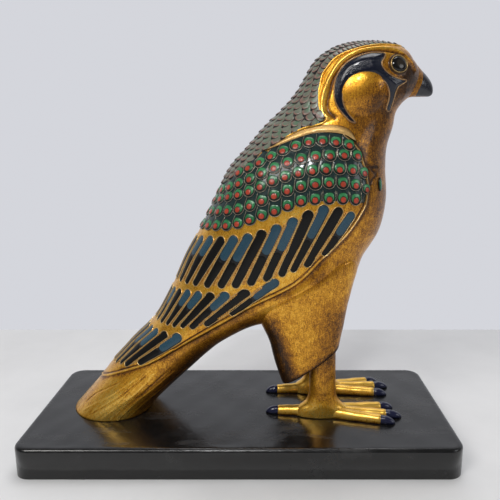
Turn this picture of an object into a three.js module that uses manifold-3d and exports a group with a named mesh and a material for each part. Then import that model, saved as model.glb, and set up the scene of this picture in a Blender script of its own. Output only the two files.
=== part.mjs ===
// Horus falcon figure: a gilded and enamelled falcon, cast in one piece with its
// folded wings, standing on a black lacquered plinth. It faces +X, Z is up.
// The figure keeps its form as shares of its own height.
import * as THREE from 'three';
import { mergeVertices } from 'three/addons/utils/BufferGeometryUtils.js';
import Module from 'manifold-3d';

const wasm = await Module();
wasm.setup();

// Driving sizes, in millimetres
const PLINTH_LENGTH = 182;
const PLINTH_WIDTH = 76;
const PLINTH_HEIGHT = 13.2;
const PLINTH_CORNER = 6.5;
const PLINTH_EDGE = 1.8;
const PLINTH_ARRIS = 0.4;
const FALCON_HEIGHT = 158.6;
// The figure's middle stands a little off the plinth's
const FALCON_ACROSS = 2.2;

// Relief and sinks of the figure's carving, in millimetres
const WING_RISE = 1.1;
const CAPE_RISE = 0.5;
const SINK = 2.6;
const HEAD_SINK = 1.6;

// One hundredth of the figure's height
const H = FALCON_HEIGHT / 100;

// Level sections of the body from crown to tail, as hundredths of the height:
// level, back, front, half-width, widest share of the depth, roundness behind and in front
const SECTIONS = [
  [100.0, 32.8, 33.6, 0.2, 0.5, 2.0, 2.0],
  [99.6, 27.9, 38.7, 3.8, 0.5, 2.0, 2.0],
  [98.2, 23.6, 42.6, 6.7, 0.5, 2.1, 2.1],
  [95.3, 19.6, 44.8, 8.9, 0.52, 2.1, 2.2],
  [91.4, 17.2, 45.6, 9.9, 0.54, 2.1, 2.3],
  [87.1, 14.6, 43.9, 10.2, 0.55, 2.1, 2.2],
  [83.0, 10.9, 41.0, 10.2, 0.55, 2.0, 2.1],
  [78.9, 6.6, 40.2, 11.2, 0.54, 2.0, 2.1],
  [73.8, 2.2, 38.8, 13.6, 0.54, 2.0, 2.1],
  [68.1, -2.8, 38.6, 15.5, 0.54, 2.0, 2.2],
  [60.1, -6.8, 39.1, 16.4, 0.54, 2.0, 2.2],
  [51.9, -11.1, 37.6, 16.2, 0.54, 2.0, 2.2],
  [45.2, -14.9, 33.6, 15.5, 0.53, 2.0, 2.2],
  [38.4, -18.0, 29.2, 14.6, 0.52, 2.0, 2.2],
  [32.7, -20.9, 17.6, 13.8, 0.5, 2.0, 2.2],
  [28.0, -23.6, 8.8, 13.2, 0.5, 2.0, 2.3],
  [24.4, -26.6, 1.6, 12.6, 0.5, 2.0, 2.4],
  [20.8, -30.4, -4.6, 12.1, 0.5, 2.0, 2.4],
  [17.2, -33.7, -9.1, 11.8, 0.5, 2.0, 2.4],
  [13.3, -37.3, -13.3, 11.6, 0.5, 2.0, 2.4],
  [8.2, -41.3, -18.8, 11.6, 0.5, 2.0, 2.4],
  [3.8, -45.1, -23.3, 11.6, 0.5, 2.0, 2.4],
  [0, -48.5, -26.4, 11.6, 0.5, 2.0, 2.4],
];

const BODY_SIDES = 30;
const BODY_LEVELS = [
  99.9, 99, 97, 94, 90.5, 87, 83, 79, 74, 68, 60, 52, 46, 40,
  35, 30.5, 26.5, 23, 19.5, 15, 10, 5, 0,
];

const radians = THREE.MathUtils.degToRad;
const smooth = (value, low, high) => THREE.MathUtils.smoothstep(value, low, high);
const mix = THREE.MathUtils.lerp;

// Value of one column of a table at x, straight between the rows; x falls down the table
function fromTable(table, x) {
  const last = table.length - 1;
  if (x >= table[0][0]) return table[0][1];
  if (x <= table[last][0]) return table[last][1];
  const next = table.findIndex((row) => row[0] <= x);
  const [x0, y0] = table[next - 1];
  const [x1, y1] = table[next];
  return y0 + ((y1 - y0) * (x - x0)) / (x1 - x0);
}

// One column of a table by a smooth spline, where t counts the rows
function splineColumn(table, t, column) {
  const last = table.length - 1;
  const i = Math.min(Math.floor(t), last - 1);
  const f = t - i;
  const p0 = table[Math.max(i - 1, 0)][column];
  const p1 = table[i][column];
  const p2 = table[i + 1][column];
  const p3 = table[Math.min(i + 2, last)][column];
  const linear = (p2 - p0) * f;
  const square = (2 * p0 - 5 * p1 + 4 * p2 - p3) * f * f;
  const cubic = (3 * p1 - p0 - 3 * p2 + p3) * f * f * f;
  return 0.5 * (2 * p1 + linear + square + cubic);
}

function sectionAt(level, table = SECTIONS) {
  let low = 0;
  let high = table.length - 1;
  for (let step = 0; step < 30; step += 1) {
    const middle = (low + high) / 2;
    if (splineColumn(table, middle, 0) > level) low = middle;
    else high = middle;
  }
  const column = (number) => splineColumn(table, low, number);
  return {
    back: column(1),
    front: column(2),
    half: column(3),
    widest: column(4),
    behind: column(5),
    ahead: column(6),
  };
}

// Levels between which the wings' and the cape's cover comes and goes
const WING_COVER = [[6, 16], [70, 78]];
const CAPE_COVER = [[70, 78], [97, 99]];

// How far the bare body lies under the wings and the cape, in millimetres
function coverAt(level) {
  const between = ([from, to]) => smooth(level, ...from) * (1 - smooth(level, ...to));
  return WING_RISE * between(WING_COVER) + CAPE_RISE * between(CAPE_COVER);
}

function bodySection(level) {
  const section = sectionAt(level);
  const cover = coverAt(level) / H;
  section.back += cover;
  section.half -= cover * (1 - smooth(level, 76, 82));
  return section;
}

// A point of a level section; angle 0 is the back's middle, 180 the front's, minus is -Y
function ringPoint(section, level, angle) {
  const turn = radians(Math.abs(angle));
  const c = Math.cos(turn);
  const s = Math.sin(turn);
  const power = 2 / (c > 0 ? section.behind : section.ahead);
  const depth = section.front - section.back;
  const run = depth * (c > 0 ? section.widest : 1 - section.widest);
  const x = section.back + depth * section.widest - Math.sign(c) * run * Math.abs(c) ** power;
  const y = Math.sign(angle) * section.half * Math.abs(s) ** power;
  return new THREE.Vector3(x * H, y * H, level * H);
}

const skin = (angle, level) => ringPoint(sectionAt(level), level, angle);

function skinNormal(angle, level) {
  const a = 0.5;
  const z = 0.15;
  const around = skin(angle + a, level).sub(skin(angle - a, level));
  const up = skin(angle, Math.min(level + z, 99.9)).sub(skin(angle, level - z));
  return up.cross(around).normalize();
}

const onSkin = (angle, level, lift) => skin(angle, level).addScaledVector(skinNormal(angle, level), lift);

// Closed bodies from triangles

function toSolid(points, triangles) {
  const geometry = new THREE.BufferGeometry();
  const positions = points.flatMap((p) => [p.x, p.y, p.z]);
  geometry.setAttribute('position', new THREE.Float32BufferAttribute(positions, 3));
  geometry.setIndex(triangles.flat());
  return geometryToSolid(geometry);
}

function geometryToSolid(source) {
  const geometry = source.clone();
  geometry.deleteAttribute('normal');
  geometry.deleteAttribute('uv');
  const merged = mergeVertices(geometry, 1e-4);
  const index = merged.getIndex().array;
  const kept = [];
  for (let i = 0; i < index.length; i += 3) {
    const [a, b, c] = [index[i], index[i + 1], index[i + 2]];
    if (a !== b && b !== c && c !== a) kept.push(a, b, c);
  }
  return new wasm.Manifold(
    new wasm.Mesh({
      numProp: 3,
      vertProperties: new Float32Array(merged.getAttribute('position').array),
      triVerts: new Uint32Array(kept),
    }),
  );
}

function toGeometry(solid) {
  const mesh = solid.getMesh();
  const geometry = new THREE.BufferGeometry();
  geometry.setAttribute('position', new THREE.BufferAttribute(mesh.vertProperties, 3));
  geometry.setIndex(fillPockets(mesh.vertProperties, mesh.triVerts));
  geometry.computeVertexNormals();
  return geometry;
}

// Leaves out the shells that face inwards, the tiny sealed pockets where carved sheets cross
function fillPockets(positions, index) {
  const parent = Array.from({ length: positions.length / 3 }, (_, i) => i);
  const root = (i) => {
    while (parent[i] !== i) i = parent[i];
    return i;
  };
  const triangles = [];
  for (let i = 0; i < index.length; i += 3) {
    const corners = [index[i], index[i + 1], index[i + 2]];
    triangles.push(corners);
    parent[root(corners[1])] = root(corners[0]);
    parent[root(corners[2])] = root(corners[0]);
  }
  const at = (i) => new THREE.Vector3().fromArray(positions, 3 * i);
  const volumes = new Map();
  for (const [a, b, c] of triangles) {
    const shell = root(a);
    volumes.set(shell, (volumes.get(shell) ?? 0) + at(a).dot(at(b).cross(at(c))));
  }
  return triangles.filter(([a]) => volumes.get(root(a)) > 0).flat();
}

// Rings of equal count, closed by a flat fan at both ends
function loft(rings) {
  const count = rings[0].length;
  const points = rings.flat();
  const triangles = [];
  for (let r = 0; r < rings.length - 1; r += 1) {
    for (let i = 0; i < count; i += 1) {
      const j = (i + 1) % count;
      const [a, b, c, d] = [r * count + i, r * count + j, (r + 1) * count + i, (r + 1) * count + j];
      triangles.push([a, b, d], [a, d, c]);
    }
  }
  for (const r of [0, rings.length - 1]) {
    const centre = rings[r].reduce((sum, p) => sum.clone().add(p), new THREE.Vector3()).divideScalar(count);
    points.push(centre);
    const hub = points.length - 1;
    for (let i = 0; i < count; i += 1) {
      const j = (i + 1) % count;
      const edge = r === 0 ? [hub, r * count + j, r * count + i] : [hub, r * count + i, r * count + j];
      triangles.push(edge);
    }
  }
  return orient(points, triangles);
}

// Turns a closed body inside out when its volume comes out negative
function orient(points, triangles) {
  let volume = 0;
  for (const [a, b, c] of triangles) {
    volume += points[a].dot(points[b].clone().cross(points[c]));
  }
  const outward = volume > 0 ? triangles : triangles.map(([a, b, c]) => [a, c, b]);
  return toSolid(points, outward);
}

// A carved sheet: lines of points from top to bottom, joined by triangles, with the
// same lines sunk under the surface as its underside
class Sheet {
  constructor() {
    this.top = [];
    this.under = [];
    this.keys = new Map();
    this.triangles = [];
  }

  add({ top, under }) {
    const key = [top.x, top.y, top.z].map((value) => value.toFixed(3)).join();
    if (this.keys.has(key)) return this.keys.get(key);
    this.top.push(top);
    this.under.push(under);
    this.keys.set(key, this.top.length - 1);
    return this.top.length - 1;
  }

  face(...corners) {
    const [a, b, c] = corners.map((corner) => this.add(corner));
    if (a !== b && b !== c && c !== a) this.triangles.push([a, b, c]);
  }

  quad(a, b, c, d) {
    this.face(a, b, c);
    this.face(a, c, d);
  }

  // Joins two lines that run the same way by the shorter diagonals
  zip(upper, lower) {
    let i = 0;
    let j = 0;
    while (i < upper.length - 1 || j < lower.length - 1) {
      const nextUpper = i < upper.length - 1 ? upper[i + 1].top.distanceTo(lower[j].top) : Infinity;
      const nextLower = j < lower.length - 1 ? lower[j + 1].top.distanceTo(upper[i].top) : Infinity;
      if (nextUpper < nextLower) {
        this.face(upper[i], upper[i + 1], lower[j]);
        i += 1;
      } else {
        this.face(upper[i], lower[j + 1], lower[j]);
        j += 1;
      }
    }
  }

  solid() {
    const count = this.top.length;
    const edges = new Map();
    for (const [a, b, c] of this.triangles) {
      for (const [from, to] of [[a, b], [b, c], [c, a]]) {
        if (edges.has(`${to},${from}`)) edges.delete(`${to},${from}`);
        else edges.set(`${from},${to}`, [from, to]);
      }
    }
    const triangles = [...this.triangles];
    for (const [a, b, c] of this.triangles) triangles.push([a + count, c + count, b + count]);
    for (const [from, to] of edges.values()) {
      triangles.push([to, from, from + count], [to, from + count, to + count]);
    }
    return orient([...this.top, ...this.under], triangles);
  }
}

const relief = (angle, level, lift, sink = SINK) => ({
  angle,
  level,
  top: onSkin(angle, level, lift),
  under: onSkin(angle, level, -sink),
});

// The bare body: crown to tail

function bodySolid() {
  const rings = BODY_LEVELS.map((level) => {
    const section = bodySection(level);
    const ring = [];
    for (let i = 0; i < BODY_SIDES; i += 1) {
      ring.push(ringPoint(section, level, (360 * i) / BODY_SIDES - 180 + 180 / BODY_SIDES));
    }
    return ring;
  });
  return loft(rings);
}

// The folded wings, one sheet across the back

// Front and lower edge of the wing: level and the angle round the body
const WING_EDGE = [
  [79, 88], [76.8, 100], [75.5, 108], [73.2, 119], [68, 129], [64.7, 131], [59.7, 130], [56.3, 126],
  [50.4, 117], [45.8, 112], [42.8, 116], [39.7, 110], [37.9, 104], [35.8, 100], [31.1, 99], [27.5, 93],
  [23, 92], [20.5, 90], [18.7, 88], [16.3, 78], [14.4, 64], [12.2, 46], [10.8, 33], [9.2, 14], [8.6, 0],
];
// Upper end of the wings, under the shoulder band and the cape: angle and level
const WING_TOP = [
  [120, 74], [103, 76.8], [94, 78], [84, 78.5], [74, 78.2], [63, 77.2], [54, 75.6], [43, 74], [0, 74],
];
// Lower end of the wings, a line that falls to the back's middle: angle and level
const WING_END = [
  [92, 20.5], [88, 18.7], [78, 16.3], [64, 14.4], [46, 12.2], [33, 10.8], [14, 9.2], [0, 8.6],
];
const wingTop = (angle) => fromTable(WING_TOP, Math.abs(angle));
const wingEnd = (angle) => fromTable(WING_END, Math.abs(angle));

// Rows of coverts: levels in hundredths of the height, width and step in millimetres
const COVERT_ROWS = 5;
const COVERT_PITCH = 3.37;
const COVERT_FIRST = 75.4;
const COVERT_DROP = 7.6;
const COVERT_TIP = 1.5;
const COVERT_NOTCH = 0.9;
const COVERT_WIDTH = 5.6;
const COVERT_STEP = 0.45;
// Spacing of the points along the wings' plain ends
const PLAIN_STEP = 7;

function covertLevel(row, angle) {
  const turn = Math.abs(angle);
  const back = COVERT_DROP * (1 - smooth(turn, 36, 96));
  const front = Math.max(0, turn - 92) / 30;
  return COVERT_FIRST - COVERT_PITCH * row - back - front * front;
}

const wingEdge = (level) => fromTable(WING_EDGE, level);

// Angles at equal steps along a line of the wing, from the back's middle to the wing's edge
function stepsAlong(levelAt, step, start) {
  const angles = [];
  let wanted = start;
  let travelled = 0;
  let here = skin(0, levelAt(0));
  for (let angle = 1; angle < 150; angle += 1) {
    const next = skin(angle, levelAt(angle));
    const length = next.distanceTo(here);
    while (travelled + length >= wanted) {
      angles.push(angle - 1 + (wanted - travelled) / length);
      wanted += step;
    }
    travelled += length;
    here = next;
    if (angle >= wingEdge(levelAt(angle))) break;
  }
  return angles;
}

// Both sides of a line, given its half from the back's middle outwards
function bothSides(half) {
  const far = half.filter((point) => point.angle > 0.01).reverse();
  const mirrored = far.map((point) => relief(-point.angle, point.level, point.lift));
  return [...mirrored, ...half.map((point) => relief(point.angle, point.level, point.lift))];
}

const inWing = (point) => point.angle < wingEdge(point.level) - 2;

function edgePoint(levelAt, lift) {
  let angle = 60;
  while (angle < 140 && angle < wingEdge(levelAt(angle))) angle += 0.25;
  return { angle, level: levelAt(angle), lift };
}

// Scalloped lower edge of one row of coverts
function covertLine(row, lift) {
  const level = (angle) => covertLevel(row, angle);
  const third = COVERT_WIDTH / 3;
  const steps = stepsAlong(level, third, 0);
  const half = steps.map((angle, i) => {
    const notch = (i + (row % 2) * 2) % 3 === 0;
    return { angle, level: level(angle) + (notch ? COVERT_NOTCH : -COVERT_TIP), lift };
  });
  return bothSides([...half.filter(inWing), edgePoint((angle) => level(angle), lift)]);
}

function plainLine(levelAt, step, lift) {
  const half = stepsAlong(levelAt, step, 0).map((angle) => ({ angle, level: levelAt(angle), lift }));
  return bothSides([...half.filter(inWing), edgePoint(levelAt, lift)]);
}

// Tiers of flight feathers: top and bottom level by angle, number of cells on a side
const past = (angle, from, slope) => slope * Math.max(0, Math.abs(angle) - from);
const TIERS = [
  {
    cells: 13,
    reach: 118,
    top: (angle) => covertLevel(4, angle) - 3.2,
    bottom: (angle) => 38.2 + past(angle, 70, 0.185),
    closing: 0.94,
    rungs: [0.1, 0.9],
  },
  {
    cells: 9,
    reach: 97,
    top: (angle) => 36.7 + past(angle, 75, 0.19),
    bottom: (angle) => 27.2 + past(angle, 74, 0.155),
    closing: 1.02,
    rungs: [0.14, 0.86],
  },
  {
    cells: 5,
    reach: 80,
    top: (angle) => 25.0 - past(angle, 50, 0.02),
    bottom: (angle) => 15.6 + past(angle, 30, 0.05),
    closing: 0.84,
    rungs: [0.14, 0.86],
  },
];
const CELL_SHARE = 0.66;
const CELL_FLOOR = -0.35;
const CELL_RIM = 0.2;
const CELL_INSET = 0.78;

// Cells of one tier on both sides, from one wing edge to the other
function tierCells(tier) {
  const width = tier.reach / tier.cells;
  const cells = [];
  for (let i = 0; i < tier.cells; i += 1) cells.push((i + 0.5) * width);
  return [...cells.map((angle) => -angle).reverse(), ...cells].map((angle) => ({ angle, width }));
}

function cellPoint(tier, cell, along, across, lift) {
  const top = tier.top(cell.angle);
  const bottom = tier.bottom(cell.angle);
  const level = mix(top, bottom, along);
  const centre = cell.angle * mix(1, tier.closing, along);
  const narrowing = mix(1, 0.8, along);
  return relief(centre + across * cell.width * CELL_SHARE * 0.5 * narrowing, level, lift);
}

// Adds one tier of cells under the line above it, and gives back the tier's own lower line
function addTier(sheet, tier, upper) {
  const cells = tierCells(tier);
  const rims = cells.map((cell) => ({
    top: cellPoint(tier, cell, 0, 0, CELL_RIM),
    bottom: cellPoint(tier, cell, 1, 0, CELL_RIM),
    left: tier.rungs.map((along) => cellPoint(tier, cell, along, -1, CELL_RIM)),
    right: tier.rungs.map((along) => cellPoint(tier, cell, along, 1, CELL_RIM)),
  }));
  const floors = cells.map((cell) => ({
    top: cellPoint(tier, cell, 0.04, 0, CELL_FLOOR),
    bottom: cellPoint(tier, cell, 0.96, 0, CELL_FLOOR),
    left: tier.rungs.map((along) => cellPoint(tier, cell, along, -CELL_INSET, CELL_FLOOR)),
    right: tier.rungs.map((along) => cellPoint(tier, cell, along, CELL_INSET, CELL_FLOOR)),
  }));
  const last = tier.rungs.length - 1;
  rims.forEach((rim, i) => {
    const floor = floors[i];
    sheet.quad(rim.left[0], rim.top, floor.top, floor.left[0]);
    sheet.quad(rim.top, rim.right[0], floor.right[0], floor.top);
    sheet.face(floor.left[0], floor.top, floor.right[0]);
    for (let r = 0; r < last; r += 1) {
      sheet.quad(rim.left[r], floor.left[r], floor.left[r + 1], rim.left[r + 1]);
      sheet.quad(floor.right[r], rim.right[r], rim.right[r + 1], floor.right[r + 1]);
      sheet.quad(floor.left[r], floor.right[r], floor.right[r + 1], floor.left[r + 1]);
      if (i > 0) sheet.quad(rims[i - 1].right[r], rim.left[r], rim.left[r + 1], rims[i - 1].right[r + 1]);
    }
    sheet.face(floor.left[last], floor.right[last], floor.bottom);
    sheet.quad(rim.left[last], floor.left[last], floor.bottom, rim.bottom);
    sheet.quad(floor.right[last], rim.right[last], rim.bottom, floor.bottom);
  });
  const ends = tierEnds(tier);
  const first = rims[0];
  const final = rims[rims.length - 1];
  for (let r = 0; r < last; r += 1) {
    sheet.quad(ends.left[r], first.left[r], first.left[r + 1], ends.left[r + 1]);
    sheet.quad(final.right[r], ends.right[r], ends.right[r + 1], final.right[r + 1]);
  }
  const heads = rims.flatMap((rim) => [rim.left[0], rim.top, rim.right[0]]);
  const tips = rims.flatMap((rim) => [rim.left[last], rim.bottom, rim.right[last]]);
  sheet.zip(upper, [ends.left[0], ...heads, ends.right[0]]);
  return [ends.left[last], ...tips, ends.right[last]];
}

// The wing's own edge at each rung of a tier
function tierEnds(tier) {
  const right = tier.rungs.map((along) => {
    const level = mix(tier.top(tier.reach), tier.bottom(tier.reach), along);
    return { angle: wingEdge(level), level };
  });
  return {
    right: right.map((end) => relief(end.angle, end.level, 0)),
    left: right.map((end) => relief(-end.angle, end.level, 0)),
  };
}

function wingSolid() {
  const sheet = new Sheet();
  let above = plainLine(wingTop, PLAIN_STEP, 0);
  for (let row = 0; row < COVERT_ROWS; row += 1) {
    const high = covertLine(row, COVERT_STEP);
    const low = covertLine(row, 0);
    sheet.zip(above, high);
    sheet.zip(high, low);
    above = low;
  }
  for (const tier of TIERS) above = addTier(sheet, tier, above);
  sheet.zip(above, plainLine(wingEnd, PLAIN_STEP, 0));
  return sheet.solid();
}

// Surface points found by a ray from inside the figure

function outsideness(p) {
  const level = p.z / H;
  if (level >= 100) return 2;
  const section = sectionAt(level);
  const depth = section.front - section.back;
  const reach = p.x / H - section.back - depth * section.widest;
  const run = depth * (reach < 0 ? section.widest : 1 - section.widest);
  const power = reach < 0 ? section.behind : section.ahead;
  return Math.abs(reach / run) ** power + Math.abs(p.y / H / section.half) ** power;
}

function outwardAt(p) {
  const d = 0.05;
  const slope = (axis) => {
    const step = new THREE.Vector3().setComponent(axis, d);
    return outsideness(p.clone().add(step)) - outsideness(p.clone().sub(step));
  };
  return new THREE.Vector3(slope(0), slope(1), slope(2)).normalize();
}

function castOut(from, direction, lift) {
  let near = 0;
  let far = 60 * H;
  for (let step = 0; step < 24; step += 1) {
    const middle = (near + far) / 2;
    if (outsideness(from.clone().addScaledVector(direction, middle)) < 1) near = middle;
    else far = middle;
  }
  const hit = from.clone().addScaledVector(direction, near);
  return hit.addScaledVector(outwardAt(hit), lift);
}

// The cape of scales over the crown and the nape, laid out by a run over the head
// from the forehead and then down the neck, and by the angle away from the middle

const HEAD_LEVEL = 89.2;
const HEAD_X = 31.8;
const CROWN_START = 52;
const CROWN_RUN = 24.6;
const CAPE_RUN = 51.3;
const CAPE_PITCH = 2.6;
const SCALE_TURN = 21;
const SCALE_TIP = 1.0;
const SCALE_NOTCH = 0.7;
const SCALE_STEP = 0.35;
const CAPE_LIFT = 0.15;
// Run and the angle at which the cape ends there
const CAPE_EDGE = [
  [51.3, 0], [48, 17], [44.5, 27], [41.4, 30], [39.8, 35], [37.6, 41], [35.4, 50], [34.6, 62],
  [33.7, 69], [32.3, 65], [31.5, 56], [29.3, 45], [26.6, 36], [24.9, 33], [22.1, 31], [20, 33],
  [17.5, 34], [14.2, 37], [10.8, 39], [6.3, 36], [2.7, 29], [0, 20], [-1.2, 8],
];

function capePoint(run, turn, lift) {
  const crown = Math.min(run / CROWN_RUN, 1);
  const pitch = radians(mix(CROWN_START, 180, crown));
  const level = HEAD_LEVEL - Math.max(0, run - CROWN_RUN);
  const section = sectionAt(level);
  const x = run < CROWN_RUN ? HEAD_X : mix(section.back, section.front, section.widest);
  const c = Math.cos(radians(turn));
  const direction = new THREE.Vector3(Math.cos(pitch) * c, Math.sin(radians(turn)), Math.sin(pitch) * c);
  const from = new THREE.Vector3(x * H, 0, level * H);
  return { top: castOut(from, direction, lift), under: castOut(from, direction, -HEAD_SINK) };
}

const capeEdge = (run) => fromTable(CAPE_EDGE, run);

function capeLine(row, lift) {
  const run = row * CAPE_PITCH;
  const reach = capeEdge(run);
  const line = [capePoint(run, -reach, lift)];
  const half = SCALE_TURN / 2;
  const most = Math.floor((reach - 3) / half);
  for (let i = -most; i <= most; i += 1) {
    const tip = (i + row) % 2 === 0;
    line.push(capePoint(Math.min(run + (tip ? SCALE_TIP : -SCALE_NOTCH), CAPE_RUN), i * half, lift));
  }
  line.push(capePoint(run, reach, lift));
  return line;
}

function capeSolid() {
  const sheet = new Sheet();
  const rows = Math.floor(CAPE_RUN / CAPE_PITCH);
  let above = [-8, 0, 8].map((turn) => capePoint(-1.2, turn, 0));
  for (let row = 0; row <= rows; row += 1) {
    const high = capeLine(row, CAPE_LIFT + SCALE_STEP);
    const low = capeLine(row, CAPE_LIFT);
    sheet.zip(above, high);
    sheet.zip(high, low);
    above = low;
  }
  return sheet.solid();
}

// A low moulding that follows a path of angle and level over the skin

function ribbonSolid(path, side, halfWidth, rise, sink = HEAD_SINK) {
  const profile = [[-halfWidth, 0], [0, rise], [halfWidth, 0], [halfWidth, -sink], [-halfWidth, -sink]];
  const centres = path.map(([angle, level]) => skin(side * angle, level));
  const rings = path.map(([angle, level], i) => {
    const before = centres[Math.max(i - 1, 0)];
    const after = centres[Math.min(i + 1, path.length - 1)];
    const out = skinNormal(side * angle, level);
    const across = after.clone().sub(before).normalize().cross(out).normalize();
    return profile.map(([sideways, up]) =>
      centres[i].clone().addScaledVector(across, sideways).addScaledVector(out, up),
    );
  });
  return loft(rings);
}

// A flat raised shape whose outline is a list of angle and level
function plaqueSolid(outline, side, rise, sink = HEAD_SINK) {
  const flat = outline.map(([angle, level]) => new THREE.Vector2(angle * 0.28, level));
  const faces = THREE.ShapeUtils.triangulateShape(flat, []);
  const sheet = new Sheet();
  const point = ([angle, level]) => relief(side * angle, level, rise, sink);
  for (const [a, b, c] of faces) sheet.face(point(outline[a]), point(outline[b]), point(outline[c]));
  return sheet.solid();
}

// A round boss in rings: share of the size, and lift
function bossSolid(angle, level, sizeAngle, sizeLevel, side, rings, sides) {
  const circles = rings.map(([share, lift]) => {
    const circle = [];
    for (let i = 0; i < sides; i += 1) {
      const turn = (2 * Math.PI * i) / sides;
      const a = angle + sizeAngle * share * Math.cos(turn);
      circle.push(onSkin(side * a, level + sizeLevel * share * Math.sin(turn), lift));
    }
    return circle;
  });
  return loft(circles);
}

// Markings of the head

const MARKING = [
  [102, 95.6], [92, 95.8], [82, 95.5], [72, 94.4], [66, 92.5], [62.5, 90.5], [63, 88.1], [68, 85.9],
  [77, 83.5], [88, 81.5], [98, 80.1], [101, 80.4], [92, 82.0], [82, 84.2], [76, 86.6], [75, 88.7],
  [80, 90.1], [90, 90.6], [98, 90.2], [105, 89.0], [112, 87.3], [121, 85.2], [131, 82.9], [133, 83.2],
  [126, 85.6], [118, 87.6], [119, 88.8], [126, 89.8], [117, 90.3], [108, 90.9], [100, 92.0], [97, 93.4],
];
const BROW = [
  [144, 95.8], [128, 97.2], [106, 97.6], [90, 97.5], [76, 96.7], [67, 95.6], [60, 94.0], [55.5, 92],
  [55, 89.6], [57.5, 87.2], [62, 85.2], [68, 83.4], [76, 81.7],
];
const BROW_HALF_WIDTH = 1.3;
const BROW_RISE = 0.6;
const EYE = { angle: 118, level: 93.6, sizeAngle: 11, sizeLevel: 2.2, sides: 12 };
// Share of the eye's size, and lift in millimetres
const EYE_RINGS = [[1.1, -HEAD_SINK], [1.1, 0.05], [0.98, 0.45], [0.84, 0.25], [0.45, 0.75]];
const BAND = [
  [43, 73.1], [54, 76.1], [63, 77.9], [74, 78.9], [84, 79.2], [94, 78.7], [103, 77.5], [111, 75.4],
  [108, 75.7], [98, 76.9], [86, 77.4], [74, 77.2], [64, 76.1], [54, 74.6],
];
const PLAQUE_RISE = 0.5;

function headSolids(side) {
  return [
    plaqueSolid(MARKING, side, PLAQUE_RISE),
    ribbonSolid(BROW, side, BROW_HALF_WIDTH, BROW_RISE),
    bossSolid(EYE.angle, EYE.level, EYE.sizeAngle, EYE.sizeLevel, side, EYE_RINGS, EYE.sides),
    plaqueSolid(BAND, side, PLAQUE_RISE),
  ];
}

// Beak, in level sections like the body's

const BEAK_SECTIONS = [
  [95.4, 38, 43.4, 1.8, 0.3, 2, 1.7],
  [94.4, 38, 45.3, 3.0, 0.3, 2, 1.7],
  [93.0, 38, 47.3, 3.8, 0.3, 2, 1.7],
  [91.2, 38, 49.1, 4.1, 0.3, 2, 1.6],
  [89.6, 38, 50.1, 3.9, 0.3, 2, 1.6],
  [88.2, 38, 50.4, 3.4, 0.3, 2, 1.6],
  [87.2, 38, 50.2, 2.7, 0.3, 2, 1.6],
  [86.7, 38, 49.4, 1.9, 0.3, 2, 1.6],
];

function levelLoft(table, levels, sides, place = (p) => p) {
  const rings = levels.map((level) => {
    const ring = [];
    for (let i = 0; i < sides; i += 1) {
      ring.push(place(ringPoint(sectionAt(level, table), level, (360 * (i + 0.5)) / sides - 180)));
    }
    return ring;
  });
  return loft(rings);
}

const beakSolid = () => levelLoft(BEAK_SECTIONS, BEAK_SECTIONS.map((row) => row[0]), 14);

// Legs: a feathered thigh, cut slantwise below, and a bare shank

const LEG_OUT = 7.1;
const THIGH_SECTIONS = [
  [50, 12, 27.0, 3.6, 0.55, 2.2, 2.2],
  [46, 8.8, 29.4, 5.2, 0.55, 2.2, 2.2],
  [42, 7.0, 30.1, 5.9, 0.55, 2.2, 2.2],
  [38, 6.1, 29.6, 6.2, 0.55, 2.3, 2.3],
  [31.5, 6.0, 28.7, 6.0, 0.55, 2.4, 2.3],
  [27, 6.5, 28.0, 5.7, 0.53, 2.5, 2.3],
  [22, 7.9, 27.1, 5.4, 0.52, 2.6, 2.4],
  [17, 9.1, 26.3, 5.1, 0.5, 2.6, 2.4],
  [12.5, 10.5, 25.9, 4.8, 0.5, 2.6, 2.4],
  [9.8, 11.5, 25.8, 4.5, 0.5, 2.6, 2.4],
];
const THIGH_LEVELS = [50, 46, 42, 37, 31.5, 24.5, 17, 13, 9.8];
// The thigh's lower end slants up to the front: back and front point
const THIGH_END = [[12.3, 10.6], [26.4, 20.2]];
const THIGH_SIDES = 16;
const SHANK_SIDES = 10;
const SHANK_SECTIONS = [
  [24, 18.9, 26.0, 2.9, 0.5, 2, 2],
  [9, 19.0, 26.3, 2.9, 0.5, 2, 2],
  [5.4, 18.6, 26.8, 3.0, 0.5, 2, 2],
  [3.6, 17.7, 27.9, 3.4, 0.5, 2, 2],
  [2.2, 15.9, 29.8, 3.9, 0.5, 2, 2],
  [0, 14.8, 31.0, 4.2, 0.5, 2, 2],
];

const ontoLeg = (side) => (p) => p.setY(p.y + side * LEG_OUT * H);

function thighSolid(side) {
  const thigh = levelLoft(THIGH_SECTIONS, THIGH_LEVELS, THIGH_SIDES, ontoLeg(side));
  const [[x0, z0], [x1, z1]] = THIGH_END;
  const slope = (z1 - z0) / (x1 - x0);
  const line = (x) => (z0 + (x - x0) * slope) * H;
  // The cutting wedge reaches well past the thigh on every side
  const reach = 2 * (x1 - x0);
  const [left, right] = [x0 - reach, x1 + reach];
  const below = -2 * reach * H;
  const corners = [[left * H, below], [right * H, below], [right * H, line(right)], [left * H, line(left)]];
  const wedge = (y) => corners.map(([x, z]) => new THREE.Vector3(x, y, z));
  return thigh.subtract(loft([wedge(-reach * H), wedge(reach * H)]));
}

function shankSolid(side) {
  const levels = SHANK_SECTIONS.map(([level]) => level);
  return levelLoft(SHANK_SECTIONS, levels, SHANK_SIDES, ontoLeg(side));
}

// Feet: three toes forward and one behind, each with its claw

// Root x, root out, tip x, tip out, claw length, all in hundredths of the height
const TOES = [
  [24, 7.9, 38.6, 11.8, 4.1],
  [25, 7.2, 40.6, 8.8, 4.5],
  [24, 6.4, 39.8, 4.4, 4.0],
  [20, 7.0, 10.1, 6.4, 3.7],
];
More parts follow.
